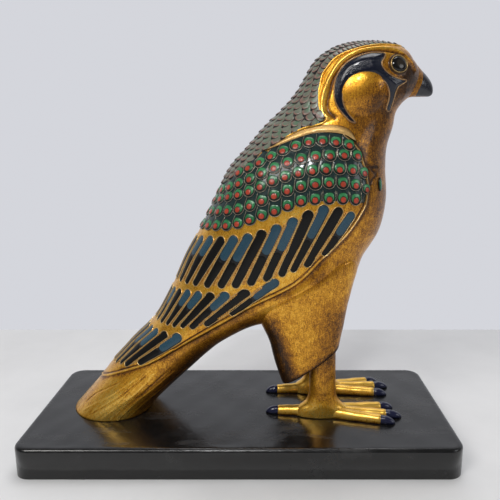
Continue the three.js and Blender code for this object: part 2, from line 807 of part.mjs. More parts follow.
// Share of the toe's length, half-width and height
const TOE_SHAPE = [[0, 1.8, 3.1], [0.35, 1.6, 2.5], [0.75, 1.5, 2.25], [1, 1.4, 2.15]];
const CLAW_SHAPE = [[0, 1.25, 2.0], [0.55, 1.15, 1.75], [1, 0.35, 0.4]];
// How far a claw starts back inside its toe
const CLAW_ROOT = 0.5;
const TOE_SIDES = 6;

function toeRing(x, out, across, halfWidth, height, side) {
  const ring = [];
  for (let i = 0; i < TOE_SIDES; i += 1) {
    const turn = (Math.PI * i) / (TOE_SIDES - 1);
    const sideways = halfWidth * Math.cos(turn);
    const up = height * Math.sin(turn) ** 0.8;
    const point = new THREE.Vector3(x + across.x * sideways, side * (out + across.y * sideways), up);
    ring.push(point.multiplyScalar(H));
  }
  return ring;
}

function toeSolids([x0, out0, x1, out1, claw], side) {
  const ahead = new THREE.Vector2(x1 - x0, out1 - out0);
  const length = ahead.length();
  ahead.normalize();
  const across = new THREE.Vector2(-ahead.y, ahead.x);
  const ring = (far, halfWidth, height) =>
    toeRing(x0 + ahead.x * far, out0 + ahead.y * far, across, halfWidth, height, side);
  const root = length - CLAW_ROOT;
  const toe = TOE_SHAPE.map(([share, halfWidth, height]) => ring(length * share, halfWidth, height));
  const nail = CLAW_SHAPE.map(([share, halfWidth, height]) => ring(root + claw * share, halfWidth, height));
  return [loft(toe), loft(nail)];
}

// Falcon

const sides = [-1, 1];
const falconSolid = [
  wingSolid(),
  capeSolid(),
  beakSolid(),
  ...sides.flatMap(headSolids),
  ...sides.map(thighSolid),
  ...sides.map(shankSolid),
  ...sides.flatMap((side) => TOES.flatMap((toe) => toeSolids(toe, side))),
].reduce((whole, piece) => whole.add(piece), bodySolid());

const gold = new THREE.MeshStandardMaterial({ color: 0xb8862b, roughness: 0.35, metalness: 0.9 });
const falcon = new THREE.Mesh(toGeometry(falconSolid), gold);
falcon.name = 'falcon';
falcon.position.set(0, FALCON_ACROSS, PLINTH_HEIGHT);

// Plinth: a slab with rounded corners, a softened upper edge and a small lower arris

const PLINTH_CORNER_STEPS = 5;
// Height above or below an edge, and how far the outline draws in there
const PLINTH_RINGS = [
  [0, PLINTH_ARRIS],
  [PLINTH_ARRIS, 0],
  [PLINTH_HEIGHT - PLINTH_EDGE, 0],
  [PLINTH_HEIGHT - 0.4 * PLINTH_EDGE, 0.2 * PLINTH_EDGE],
  [PLINTH_HEIGHT - 0.1 * PLINTH_EDGE, 0.5 * PLINTH_EDGE],
  [PLINTH_HEIGHT, PLINTH_EDGE],
];

function slabRing(level, inset) {
  const corner = PLINTH_CORNER - inset;
  const x = PLINTH_LENGTH / 2 - PLINTH_CORNER;
  const y = PLINTH_WIDTH / 2 - PLINTH_CORNER;
  const ring = [];
  [[1, -1, -90], [1, 1, 0], [-1, 1, 90], [-1, -1, 180]].forEach(([sideX, sideY, start]) => {
    for (let i = 0; i <= PLINTH_CORNER_STEPS; i += 1) {
      const turn = radians(start + (90 * i) / PLINTH_CORNER_STEPS);
      const [along, across] = [corner * Math.cos(turn), corner * Math.sin(turn)];
      ring.push(new THREE.Vector3(sideX * x + along, sideY * y + across, level));
    }
  });
  return ring;
}

const plinthSolid = loft(PLINTH_RINGS.map(([level, inset]) => slabRing(level, inset)));

const lacquer = new THREE.MeshStandardMaterial({ color: 0x101214, roughness: 0.28, metalness: 0 });
const plinth = new THREE.Mesh(toGeometry(plinthSolid), lacquer);
plinth.name = 'plinth';

const figure = new THREE.Group();
figure.add(plinth, falcon);

export default figure;
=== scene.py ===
"""Gilded and enamelled falcon figure on a black lacquered plinth."""
import math

import bpy
import numpy as np
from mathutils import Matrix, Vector
from mathutils.geometry import delaunay_2d_cdt


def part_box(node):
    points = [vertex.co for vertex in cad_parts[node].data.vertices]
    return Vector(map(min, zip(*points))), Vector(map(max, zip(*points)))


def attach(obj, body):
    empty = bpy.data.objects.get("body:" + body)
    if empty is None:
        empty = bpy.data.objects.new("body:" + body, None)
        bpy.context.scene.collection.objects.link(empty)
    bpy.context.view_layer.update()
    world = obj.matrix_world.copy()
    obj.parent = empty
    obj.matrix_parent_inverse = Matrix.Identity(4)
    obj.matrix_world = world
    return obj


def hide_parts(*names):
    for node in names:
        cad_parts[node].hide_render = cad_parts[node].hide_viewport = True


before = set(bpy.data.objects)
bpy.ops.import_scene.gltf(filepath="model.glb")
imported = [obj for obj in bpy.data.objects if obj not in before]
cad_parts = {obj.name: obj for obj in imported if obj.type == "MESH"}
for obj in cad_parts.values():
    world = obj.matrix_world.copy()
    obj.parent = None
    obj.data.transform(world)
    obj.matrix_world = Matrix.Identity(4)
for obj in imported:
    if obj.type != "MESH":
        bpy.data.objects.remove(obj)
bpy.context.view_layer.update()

draws = np.random.default_rng(11)

# Lengths are in millimetres and levels in hundredths of the bird's height, from the plinth's
# top. Angles are degrees round a level section, 0 at the middle of the back, 180 in front.
MM = 0.001
# How far the solid's cape stands over the bare crown
CROWN_COVER = 0.5
FALCON_LOW, FALCON_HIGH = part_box("falcon")
UNIT = ((FALCON_HIGH.z - FALCON_LOW.z) / MM - CROWN_COVER) / 100
SHIFT = np.array([0, (FALCON_LOW.y + FALCON_HIGH.y) / 2, FALCON_LOW.z]) / MM
SIDES = (-1, 1)

# Level, back, front, half width, place of the widest, fullness behind, fullness ahead
SECTIONS = [
    [100.0, 32.8, 33.6, 0.2, 0.5, 2.0, 2.0], [99.6, 27.9, 38.7, 3.8, 0.5, 2.0, 2.0],
    [98.2, 23.6, 42.6, 6.7, 0.5, 2.1, 2.1], [95.3, 19.6, 44.8, 8.9, 0.52, 2.1, 2.2],
    [91.4, 17.2, 45.6, 9.9, 0.54, 2.1, 2.3], [87.1, 14.6, 43.9, 10.2, 0.55, 2.1, 2.2],
    [83.0, 10.9, 41.0, 10.2, 0.55, 2.0, 2.1], [78.9, 6.6, 40.2, 11.2, 0.54, 2.0, 2.1],
    [73.8, 2.2, 38.8, 13.6, 0.54, 2.0, 2.1], [68.1, -2.8, 38.6, 15.5, 0.54, 2.0, 2.2],
    [60.1, -6.8, 39.1, 16.4, 0.54, 2.0, 2.2], [51.9, -11.1, 37.6, 16.2, 0.54, 2.0, 2.2],
    [45.2, -14.9, 33.6, 15.5, 0.53, 2.0, 2.2], [38.4, -18.0, 29.2, 14.6, 0.52, 2.0, 2.2],
    [32.7, -20.9, 17.6, 13.8, 0.5, 2.0, 2.2], [28.0, -23.6, 8.8, 13.2, 0.5, 2.0, 2.3],
    [24.4, -26.6, 1.6, 12.6, 0.5, 2.0, 2.4], [20.8, -30.4, -4.6, 12.1, 0.5, 2.0, 2.4],
    [17.2, -33.7, -9.1, 11.8, 0.5, 2.0, 2.4], [13.3, -37.3, -13.3, 11.6, 0.5, 2.0, 2.4],
    [8.2, -41.3, -18.8, 11.6, 0.5, 2.0, 2.4], [3.8, -45.1, -23.3, 11.6, 0.5, 2.0, 2.4],
    [0.0, -48.5, -26.4, 11.6, 0.5, 2.0, 2.4],
]
BEAK_SECTIONS = [
    [95.4, 38, 43.4, 1.8, 0.3, 2, 1.7], [94.4, 38, 45.3, 3.0, 0.3, 2, 1.7],
    [93.0, 38, 47.3, 3.8, 0.3, 2, 1.7], [91.2, 38, 49.1, 4.1, 0.3, 2, 1.6],
    [89.6, 38, 50.1, 3.9, 0.3, 2, 1.6], [88.2, 38, 50.4, 3.4, 0.3, 2, 1.6],
    [87.2, 38, 50.2, 2.7, 0.3, 2, 1.6], [86.7, 38, 49.4, 1.9, 0.3, 2, 1.6],
]
THIGH_SECTIONS = [
    [50, 12, 27.0, 3.6, 0.55, 2.2, 2.2], [46, 8.8, 29.4, 5.2, 0.55, 2.2, 2.2],
    [42, 7.0, 30.1, 5.9, 0.55, 2.2, 2.2], [38, 6.1, 29.6, 6.2, 0.55, 2.3, 2.3],
    [31.5, 6.0, 28.7, 6.0, 0.55, 2.4, 2.3], [27, 6.5, 28.0, 5.7, 0.53, 2.5, 2.3],
    [22, 7.9, 27.1, 5.4, 0.52, 2.6, 2.4], [17, 9.1, 26.3, 5.1, 0.5, 2.6, 2.4],
    [12.5, 10.5, 25.9, 4.8, 0.5, 2.6, 2.4], [9.8, 11.5, 25.8, 4.5, 0.5, 2.6, 2.4],
]
SHANK_SECTIONS = [
    [24, 18.9, 26.0, 2.9, 0.5, 2, 2], [9, 19.0, 26.3, 2.9, 0.5, 2, 2],
    [5.4, 18.6, 26.8, 3.0, 0.5, 2, 2], [3.6, 17.7, 27.9, 3.4, 0.5, 2, 2],
    [2.2, 15.9, 29.8, 3.9, 0.5, 2, 2], [0, 14.8, 31.0, 4.2, 0.5, 2, 2],
]
# Two places and levels on the thighs' slanting lower end
THIGH_END = [[12.3, 10.6], [26.4, 20.2]]
# How far the middle of a leg stands from the bird's
LEG_OUT = 7.1

# Front and lower edge of the wing: level and angle
WING_EDGE = [
    [79, 88], [76.8, 100], [75.5, 108], [73.2, 119], [68, 129], [64.7, 131], [59.7, 130],
    [56.3, 125.5], [50.4, 117.5], [45.8, 113.2], [42.8, 110.6], [39.7, 106.8], [37.9, 104.2],
    [35.8, 102], [31.1, 98.5], [27.5, 94.5], [23, 92], [20.5, 90], [18.7, 87], [16.3, 78], [14.4, 64],
    [12.2, 46], [10.8, 33], [9.2, 14], [8.6, 0],
]
WING_TOP = 79
WING_END = 8.6
WING_RISE = 1.1
CAPE_RISE = 0.5


def smooth(value, low, high):
    share = np.clip((value - low) / (high - low), 0, 1)
    return share * share * (3 - 2 * share)


def mix(a, b, share):
    return a + (b - a) * share


def wrap(angle):
    return (angle + 180) % 360 - 180


def look_up(table, value):
    """Second column of a table by its first, whichever way that runs"""
    rows = np.array(sorted(table), float)
    return np.interp(value, rows[:, 0], rows[:, 1])


def unit(vectors):
    return vectors / np.maximum(np.linalg.norm(vectors, axis=-1, keepdims=True), 1e-9)


def spline(rows, steps, closed=False):
    """Points along a smooth curve through the rows"""
    rows = np.array(rows, float)
    if closed:
        padded = np.vstack([rows[-1:], rows, rows[:2]])
    else:
        padded = np.vstack([rows[:1], rows, rows[-1:]])
    share = (np.arange(steps) / steps)[:, None]
    curve = []
    for i in range(len(padded) - 3):
        a, b, c, d = padded[i:i + 4]
        linear = (c - a) * share
        square = (2 * a - 5 * b + 4 * c - d) * share ** 2
        cube = (3 * b - a - 3 * c + d) * share ** 3
        curve.append(0.5 * (2 * b + linear + square + cube))
    if not closed:
        curve.append(rows[-1:])
    return np.vstack(curve)


# Surfaces that the pieces are laid on. Each has at(p, q, lift), which gives points in
# millimetres; those of the bird have normal(p, q) too

class Form:
    """A body given by level sections, reached by angle and level"""

    def __init__(self, table, out=0):
        fine = spline(table, 40)[::-1]
        self.levels = fine[:, 0]
        self.columns = fine[:, 1:].T
        self.out = out

    def section(self, level):
        return [np.interp(level, self.levels, column) for column in self.columns]

    def ring(self, angle, level, recess=0):
        """A point of a section; recess draws the back and the sides in, in millimetres"""
        back, front, half, widest, behind, ahead = self.section(level)
        back = back + recess / UNIT
        half = half - recess / UNIT * (1 - smooth(level, 76, 82))
        turn = np.radians(np.abs(angle))
        c = np.cos(turn)
        s = np.sin(turn)
        power = 2 / np.where(c > 0, behind, ahead)
        depth = front - back
        run = depth * np.where(c > 0, widest, 1 - widest)
        x = back + depth * widest - np.sign(c) * run * np.abs(c) ** power
        y = np.sign(angle) * half * np.abs(s) ** power + self.out
        return np.stack(np.broadcast_arrays(x, y, level), -1) * UNIT

    def normal(self, angle, level):
        around = self.ring(wrap(angle + 0.5), level) - self.ring(wrap(angle - 0.5), level)
        up = self.ring(angle, np.minimum(level + 0.15, 99.95)) - self.ring(angle, level - 0.15)
        return unit(np.cross(up, around))

    def at(self, angle, level, lift=0):
        angle, level, lift = np.broadcast_arrays(wrap(angle), level, lift)
        points = self.ring(angle, level)
        if not np.any(lift):
            return points
        return points + self.normal(angle, level) * lift[..., None]

    def outsideness(self, points):
        """Above zero outside the form"""
        x, y, level = np.moveaxis(points / UNIT, -1, 0)
        back, front, half, widest, behind, ahead = self.section(level)
        middle = mix(back, front, widest)
        behind_middle = x < middle
        run = np.where(behind_middle, middle - back, front - middle)
        full = np.where(behind_middle, behind, ahead)
        share = np.abs(x - middle) / run
        side = np.abs(y) / half
        return np.maximum(share ** full + side ** full - 1, level - 100)


class Cape:
    """The crown, nape and shoulders, reached by the turn to a side and the run down the back"""
    HEAD_LEVEL = 89.2
    HEAD_X = 31.8
    CROWN_START = 52
    CROWN_RUN = 24.6
    REACH = 60
    HALVINGS = 22

    def __init__(self, form):
        self.form = form

    def cast(self, turn, run):
        share = np.clip(run / self.CROWN_RUN, None, 1)
        pitch = np.radians(mix(self.CROWN_START, 180, share))
        level = self.HEAD_LEVEL - np.maximum(0, run - self.CROWN_RUN)
        back, front, _, widest, _, _ = self.form.section(level)
        x = np.where(run < self.CROWN_RUN, self.HEAD_X, mix(back, front, widest))
        side = np.radians(turn)
        ray = [np.cos(pitch) * np.cos(side), np.sin(side), np.sin(pitch) * np.cos(side)]
        ray = np.stack(ray, -1)
        start = np.stack([x, 0 * x, level], -1) * UNIT
        near = np.zeros(ray.shape[:-1])
        far = near + self.REACH
        for _ in range(self.HALVINGS):
            middle = (near + far) / 2
            outside = self.form.outsideness(start + ray * middle[..., None]) > 0
            near = np.where(outside, near, middle)
            far = np.where(outside, middle, far)
        return start + ray * near[..., None]

    def normal(self, turn, run):
        return self.slope(self.cast(*np.broadcast_arrays(turn, run)))

    def slope(self, points):
        step = 0.25
        gradient = []
        for axis in np.eye(3) * step:
            ahead = self.form.outsideness(points + axis)
            gradient.append(ahead - self.form.outsideness(points - axis))
        crown = smooth(points[..., 2:] / UNIT, 98.6, 99.6)
        return unit(mix(unit(np.stack(gradient, -1)), np.array([0, 0, 1.0]), crown))

    def at(self, turn, run, lift=0):
        turn, run, lift = np.broadcast_arrays(turn, run, lift)
        points = self.cast(turn, run)
        return points + self.slope(points) * lift[..., None]


class Slab:
    """The plinth's flat top"""

    def __init__(self, height):
        self.height = height

    def at(self, x, y, lift=0):
        return np.stack(np.broadcast_arrays(x, y, self.height + lift), -1)


BODY = Form(SECTIONS)
CAPE = Cape(BODY)
BEAK = Form(BEAK_SECTIONS)
THIGHS = [Form(THIGH_SECTIONS, side * LEG_OUT) for side in SIDES]
THIGH_BLEND = 8.0
BEAK_BLEND = 4.0


def gap_to(form, points):
    """Distance of each point from a form's skin, roughly, below zero inside"""
    own = points - np.array([0, form.out * UNIT, 0])
    step = 0.3
    rise = [form.outsideness(own + axis) - form.outsideness(own - axis) for axis in np.eye(3) * step]
    slope = np.linalg.norm(np.stack(rise, -1), axis=-1) / (2 * step)
    return form.outsideness(own) / np.maximum(slope, 1e-6)


def blend_rise(form, points, reach):
    """How far a skin swells towards a form that it runs into"""
    gap = np.abs(gap_to(form, points))
    return reach / 4 * np.clip(1 - gap / reach, 0, 1) ** 2


def cover_at(level):
    """How far the bare body lies under the wings and the cape"""
    wing = smooth(level, 6, 16) * (1 - smooth(level, 70, 78))
    cape = smooth(level, 70, 78) * (1 - smooth(level, 97, 99))
    return WING_RISE * wing + CAPE_RISE * cape


# Gathering points and faces into pieces

class Piece:
    """Points, faces and a tint from 0 to 1 at each point, which become one mesh"""

    def __init__(self):
        self.points = []
        self.tints = []
        self.faces = []
        self.count = 0

    def add(self, points, faces, tint=0.0):
        """points in millimetres from the plinth's top; faces index them"""
        points = np.asarray(points).reshape(-1, 3)
        self.points.append(points)
        tint = np.asarray(tint, float).ravel()
        self.tints.append(tint if len(tint) == len(points) else np.full(len(points), tint[0]))
        start = self.count
        self.faces += [[start + i for i in face] for face in faces]
        self.count += len(points)

    def make(self, name, finish, standing=True):
        """The mesh object, riding on the only body"""
        points = np.vstack(self.points) + (SHIFT if standing else 0)
        mesh = bpy.data.meshes.new(name)
        mesh.from_pydata((points * MM).tolist(), [], self.faces)
        mesh.validate()
        tint = mesh.attributes.new("tint", "FLOAT", "POINT")
        tint.data.foreach_set("value", np.concatenate(self.tints).astype(np.float32))
        mesh.polygons.foreach_set("use_smooth", np.ones(len(mesh.polygons), bool))
        mesh.materials.append(finish.material)
        piece = bpy.data.objects.new(name, mesh)
        bpy.context.scene.collection.objects.link(piece)
        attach(piece, "root")
        return piece


def grid_faces(rows, columns, closed=False, looped=False):
    """Quads of a grid whose columns run to the right and rows upwards, seen from outside.
    Closed columns run round; looped rows do too"""
    faces = []
    for r in range(rows if looped else rows - 1):
        s = (r + 1) % rows
        for c in range(columns if closed else columns - 1):
            d = (c + 1) % columns
            faces.append([r * columns + c, r * columns + d, s * columns + d, s * columns + c])
    return faces


def capped_faces(rows, columns):
    """Faces of a grid that closes round, with a fan to each of the two points that follow it"""
    total = rows * columns
    last = total - columns
    faces = grid_faces(rows, columns, True)
    for c in range(columns):
        d = (c + 1) % columns
        faces.append([total, d, c])
        faces.append([total + 1, last + c, last + d])
    return faces


def bar_faces(rows, width, closed=False):
    """Faces of a bar whose rows of points run round it; it has two ends or closes on itself"""
    faces = grid_faces(rows, width, True, closed)
    if not closed:
        faces.append(list(range(width))[::-1])
        faces.append([(rows - 1) * width + k for k in range(width)])
    return faces


def edges_of(faces):
    """Edges that belong to one face only"""
    edges = set()
    for face in faces:
        for i, j in zip(face, face[1:] + face[:1]):
            if (j, i) in edges:
                edges.remove((j, i))
            else:
                edges.add((i, j))
    return edges


def sheet(piece, upper, lower, faces, tint):
    """A closed sheet between two layers of points that share their faces"""
    total = len(upper)
    walls = [[j, i, i + total, j + total] for i, j in edges_of(faces)]
    floor = [[i + total for i in face[::-1]] for face in faces]
    every = faces + walls + floor
    a, b, c = upper[faces[0][:3]]
    if np.cross(b - a, c - a) @ (a - lower[faces[0][0]]) < 0:
        every = [face[::-1] for face in every]
    piece.add(np.vstack([upper, lower]), every, np.concatenate([tint, tint]))


def run_along(track):
    """How far each point of a track lies from its start, along the track"""
    steps = np.linalg.norm(np.diff(track, axis=0), axis=-1)
    return np.concatenate([[0], np.cumsum(steps)])


class Shape:
    """A small flat shape with relief: points across, along and up, with faces and tints"""

    def __init__(self, points, faces, tints):
        self.points = np.array(points, float)
        self.faces = faces
        self.tints = np.array(tints, float)


def domed(outline, rings, centre=(0, 0), lift=None):
    """A shape in rings from its outline inwards: share of the outline, lift and tint"""
    outline = np.array(outline, float)
    centre = np.array(centre, float)
    count = len(outline)
    points = []
    tints = []
    for share, up, tint in rings:
        ring = centre + (outline - centre) * share
        extra = lift(ring[:, 0], ring[:, 1]) if lift else np.zeros(count)
        points.append(np.column_stack([ring, extra + up]))
        tints += [tint] * count
    middle = lift(centre[0], centre[1]) if lift else 0
    points.append(np.array([[centre[0], centre[1], middle + rings[-1][1]]]))
    tints.append(rings[-1][2])
    faces = [list(range(count))[::-1]] + grid_faces(len(rings), count, True)
    last = (len(rings) - 1) * count
    hub = len(rings) * count
    faces += [[last + i, last + (i + 1) % count, hub] for i in range(count)]
    return Shape(np.vstack(points), faces, tints)


def oval(half_width, half_length, count):
    turn = 2 * math.pi * np.arange(count) / count
    return np.column_stack([half_width * np.cos(turn), half_length * np.sin(turn)])


def tile_outline(half_width, top, shoulder, tip, count=12):
    """Outline of a scale: straight sides and a rounded lower end"""
    turn = math.pi * np.arange(count + 1) / count
    end = np.column_stack([half_width * np.cos(turn), shoulder + (tip - shoulder) * np.sin(turn)])
    middle = (top + shoulder) / 2
    left = [[-half_width, middle], [-half_width, top]]
    right = [[half_width, top], [half_width, middle]]
    return np.vstack([left, [[0, top]], right, end])


def metric(surface, p, q):
    """How the surface's two coordinates run, per step of each"""
    step_p = 0.4
    step_q = 0.2
    along_p = (surface.at(p + step_p, q) - surface.at(p - step_p, q)) / (2 * step_p)
    along_q = (surface.at(p, q + step_q) - surface.at(p, q - step_q)) / (2 * step_q)
    return along_p, along_q


def chart_step(along_p, along_q, move):
    """Change of the two coordinates that makes a given move in millimetres"""
    e = (along_p * along_p).sum(-1)
    f = (along_p * along_q).sum(-1)
    g = (along_q * along_q).sum(-1)
    a = (move * along_p).sum(-1)
    b = (move * along_q).sum(-1)
    down = e * g - f * f
    return (a * g - b * f) / down, (b * e - a * f) / down


def stamp(piece, surface, shape, p, q, heading, size, tint=None, keep=None):
    """Lays a copy of the shape at each place, its length along the heading"""
    p = np.asarray(p, float)
    q = np.asarray(q, float)
    along_p, along_q = metric(surface, p, q)
    out = surface.normal(p, q)
    along = unit(heading - out * (heading * out).sum(-1, keepdims=True))
    across = np.cross(along, out)
    size = np.broadcast_to(size, (len(p), 3))
    local = shape.points[None] * size[:, None, :]
    move = local[..., :1] * across[:, None] + local[..., 1:2] * along[:, None]
    step_p, step_q = chart_step(along_p[:, None], along_q[:, None], move)
    spot_p = p[:, None] + step_p
    spot_q = q[:, None] + step_q
    if keep:
        spot_p = keep(spot_p, spot_q)
    points = surface.at(spot_p, spot_q, local[..., 2])
    for i in range(len(p)):
        extra = 0 if tint is None else tint[i]
        piece.add(points[i], shape.faces, np.clip(shape.tints + extra, 0, 1))


def on_side(path, side):
    """A path, given for one side of the body, on either"""
    return np.array(path, float) * (side, 1)


def sides_of(angle):
    """Both sides, but one only for a place on the middle line"""
    return SIDES if angle > 0.01 else (1,)


def spot_on(side, place):
    """A place of one side as the coordinates that stamps and rings take"""
    return np.array([side * place[0]]), np.array([place[1]])


def stamp_sides(name, finish, shape, place):
    """One piece of the shape laid on each side of the body, its length pointing down"""
    piece = Piece()
    for side in SIDES:
        spot = spot_on(side, place)
        _, up = metric(BODY, *spot)
        stamp(piece, BODY, shape, *spot, unit(-up), np.ones((1, 3)))
    piece.make(name, finish)


def beside(surface, p, q, offset, closed=False):
    """Coordinates of a path's points moved sideways by millimetres, positive to its right"""
    centres = surface.at(p, q)
    if closed:
        ahead = np.roll(centres, -1, 0) - np.roll(centres, 1, 0)
    else:
        ahead = np.gradient(centres, axis=0)
    across = unit(np.cross(unit(ahead), surface.normal(p, q)))
    along_p, along_q = metric(surface, p, q)
    move = across[:, None] * offset[..., None]
    step_p, step_q = chart_step(along_p[:, None], along_q[:, None], move)
    return p[:, None] + step_p, q[:, None] + step_q


def ribbon(piece, surface, path, half, profile, closed=False, scale=1.0, tint=0.0):
    """A moulding along a path: profile is the share across and the lift of each point"""
    p, q = np.array(path, float).T
    sideways, up = np.array(profile, float).T
    offset = np.broadcast_to(half, len(p))[:, None] * sideways
    lift = np.where(up > 0, up * np.broadcast_to(scale, len(p))[:, None], up)
    points = surface.at(*beside(surface, p, q, offset, closed), lift)
    piece.add(points, bar_faces(len(p), len(up), closed), tint)


def line_sides(name, finish, paths, half, profile, closed=False, tint=0.0):
    """One piece of mouldings along the paths that each side of the body has"""
    piece = Piece()
    for side in SIDES:
        for path in paths(side):
            ribbon(piece, BODY, path, half, profile, closed, tint=tint)
    piece.make(name, finish)


def round_profile(lift, sink, steps=6):
    """Cross-section of a rounded wire"""
    turn = math.pi * np.arange(steps + 1) / steps
    top = np.column_stack([-np.cos(turn), lift * np.sin(turn)])
    return np.vstack([[[-1, -sink]], top, [[1, -sink]]])


def pillow_profile(edge, crown, sink, steps=6):
    """Cross-section of a softly domed inlay"""
    share = np.linspace(-1, 1, 2 * steps + 1)
    share = np.sign(share) * np.abs(share) ** 0.7
    lift = edge + (crown - edge) * (1 - np.abs(share) ** 2.5)
    return np.vstack([[[-1, -sink]], np.column_stack([share, lift]), [[1, -sink]]])


def inside_outline(points, outline):
    """Which points of a plane lie inside a closed outline"""
    x, y = points.T
    inside = np.zeros(len(points), bool)
    x0, y0 = outline.T
    x1, y1 = np.roll(outline, -1, 0).T
    for ax, ay, bx, by in zip(x0, y0, x1, y1):
        if ay == by:
            continue
        crosses = (ay > y) != (by > y)
        inside ^= crosses & (x < (bx - ax) * (y - ay) / (by - ay) + ax)
    return inside


def distance_to(points, path, closed=False):
    """Distance of each point to a path of straight pieces"""
    ends = np.roll(path, -1, 0) if closed else path[1:]
    starts = path if closed else path[:-1]
    nearest = np.full(len(points), 1e9)
    for a, b in zip(starts, ends):
        run = b - a
        share = np.clip(((points - a) @ run) / max(run @ run, 1e-9), 0, 1)
        nearest = np.minimum(nearest, np.linalg.norm(points - a - share[:, None] * run, axis=-1))
    return nearest


def plaque(piece, surface, outline, stretch, spacing, lift, sink=0.6, tint=None, extra=()):
    """A raised shape of any outline; lift gives its height by the distance to its edge"""
    stretch = np.array(stretch, float)
    flat = np.array(outline, float) * stretch
    if np.cross(flat, np.roll(flat, -1, 0)).sum() < 0:
        flat = flat[::-1]
    low = flat.min(0)
    high = flat.max(0)
    xs = np.arange(low[0], high[0], spacing)
    ys = np.arange(low[1], high[1], spacing * 0.87)
    grid = np.array([[x + (k % 2) * spacing / 2, y] for k, y in enumerate(ys) for x in xs])
    grid = grid[inside_outline(grid, flat)]
    grid = grid[distance_to(grid, flat, True) > spacing * 0.55]
    for ring in extra:
        grid = np.vstack([grid, np.array(ring) * stretch])
    vectors = [Vector(point) for point in np.vstack([flat, grid])]
    result = delaunay_2d_cdt(vectors, [], [list(range(len(flat)))], 1, 1e-6)
    found = np.array([list(v) for v in result[0]])
    faces = [list(face) for face in result[2]]
    away = distance_to(found, flat, True)
    p, q = (found / stretch).T
    shade = np.zeros(len(found)) if tint is None else tint(away, p, q)
    sheet(piece, surface.at(p, q, lift(away, p, q)), surface.at(p, q, -sink), faces, shade)


def plaque_sides(name, finish, outline, *shape):
    """One piece of the raised shape on each side of the body"""
    piece = Piece()
    for side in SIDES:
        plaque(piece, BODY, on_side(outline, side), *shape)
    piece.make(name, finish)


# Finishes

class Value:
    """What a node puts out, with arithmetic"""

    def __init__(self, finish, socket):
        self.finish = finish
        self.socket = socket

    def maths(self, operation, *others):
        sockets = dict(enumerate((self, *others)))
        return self.finish.node("Math", {"operation": operation}, sockets)

    def __add__(self, other):
        return self.maths("ADD", other)

    def __sub__(self, other):
        return self.maths("SUBTRACT", other)

    def __rsub__(self, other):
        return self.finish.node("Math", {"operation": "SUBTRACT"}, {0: other, 1: self})

    def __mul__(self, other):
        return self.maths("MULTIPLY", other)

    __radd__ = __add__
    __rmul__ = __mul__

    def clamped(self):
        return self.finish.node("Clamp", {}, {"Value": self})

    def between(self, low, high):
        """0 below low, 1 above high, smooth in between"""
        sockets = {"Value": self, "From Min": low, "From Max": high}
        return self.finish.node("MapRange", {"interpolation_type": "SMOOTHSTEP"}, sockets)


class Finish:
    """One material, with the slot of the record that it belongs to"""

    def __init__(self, name, slot=None):
        self.slot = slot
        self.material = bpy.data.materials.new(name)
        self.material.use_nodes = True
        self.tree = self.material.node_tree
        self.tree.nodes.clear()
        self.shader = self.tree.nodes.new("ShaderNodeBsdfPrincipled")
        output = self.tree.nodes.new("ShaderNodeOutputMaterial")
        self.tree.links.new(self.shader.outputs[0], output.inputs[0])
        place = self.tree.nodes.new("ShaderNodeTexCoord")
        self.place = Value(self, place.outputs["Object"])
        self.tint = self.node("Attribute", {"attribute_name": "tint"}, {}, "Fac")

    def node(self, kind, settings, sockets, output=0):
        node = self.tree.nodes.new("ShaderNode" + kind)
        for name, setting in settings.items():
            if name == "stops":
                self.set_stops(node.color_ramp, setting)
            else:
                setattr(node, name, setting)
        for key, value in sockets.items():
            self.feed(node.inputs[key], value)
        return Value(self, node.outputs[output])

    def set_stops(self, ramp, stops):
        while len(ramp.elements) < len(stops):
            ramp.elements.new(0.5)
        for element, (place, colour) in zip(ramp.elements, stops):
            element.position = place
            element.color = (*colour, 1)

    def feed(self, socket, value):
        if isinstance(value, Value):
            self.tree.links.new(value.socket, socket)
        elif socket.type == "RGBA":
            socket.default_value = (*value, 1)
        else:
            socket.default_value = value

    def noise(self, size, detail=3.0, roughness=0.55, stretch=(1, 1, 1)):
        """Clouds of a given size in millimetres"""
        settings = {"vector_type": "POINT"}
        place = self.node("Mapping", settings, {"Vector": self.place, "Scale": stretch}, 0)
        sockets = {"Vector": place, "Scale": 1 / (size * MM), "Detail": detail,
                   "Roughness": roughness}
        return self.node("TexNoise", {}, sockets, "Fac")

    def grains(self, size):
        """Distance from the middle of scattered grains of a given size"""
        sockets = {"Vector": self.place, "Scale": 1 / (size * MM)}
        return self.node("TexVoronoi", {}, sockets, "Distance")

    def blend(self, share, first, second):
        settings = {"data_type": "RGBA"}
        return self.node("Mix", settings, {0: share, 6: first, 7: second}, 2)

    def ramp(self, value, stops):
        return self.node("ValToRGB", {"stops": stops}, {"Fac": value}, "Color")

    def bump(self, height, depth, strength=1.0, under=None):
        """Relief of a given depth in millimetres"""
        sockets = {"Height": height, "Distance": depth * MM, "Strength": strength}
        if under:
            sockets["Normal"] = under
        return self.node("Bump", {}, sockets, "Normal")

    def surface(self, **sockets):
        for name, value in sockets.items():
            socket = name.replace("_", " ").title().replace("Ior", "IOR")
            self.feed(self.shader.inputs[socket], value)
        return self


GOLD_LEAF = [
    (0.0, (0.90, 0.55, 0.10)), (0.2, (0.80, 0.40, 0.032)), (0.45, (0.48, 0.20, 0.014)),
    (0.7, (0.19, 0.072, 0.007)), (1.0, (0.032, 0.013, 0.004)),
]


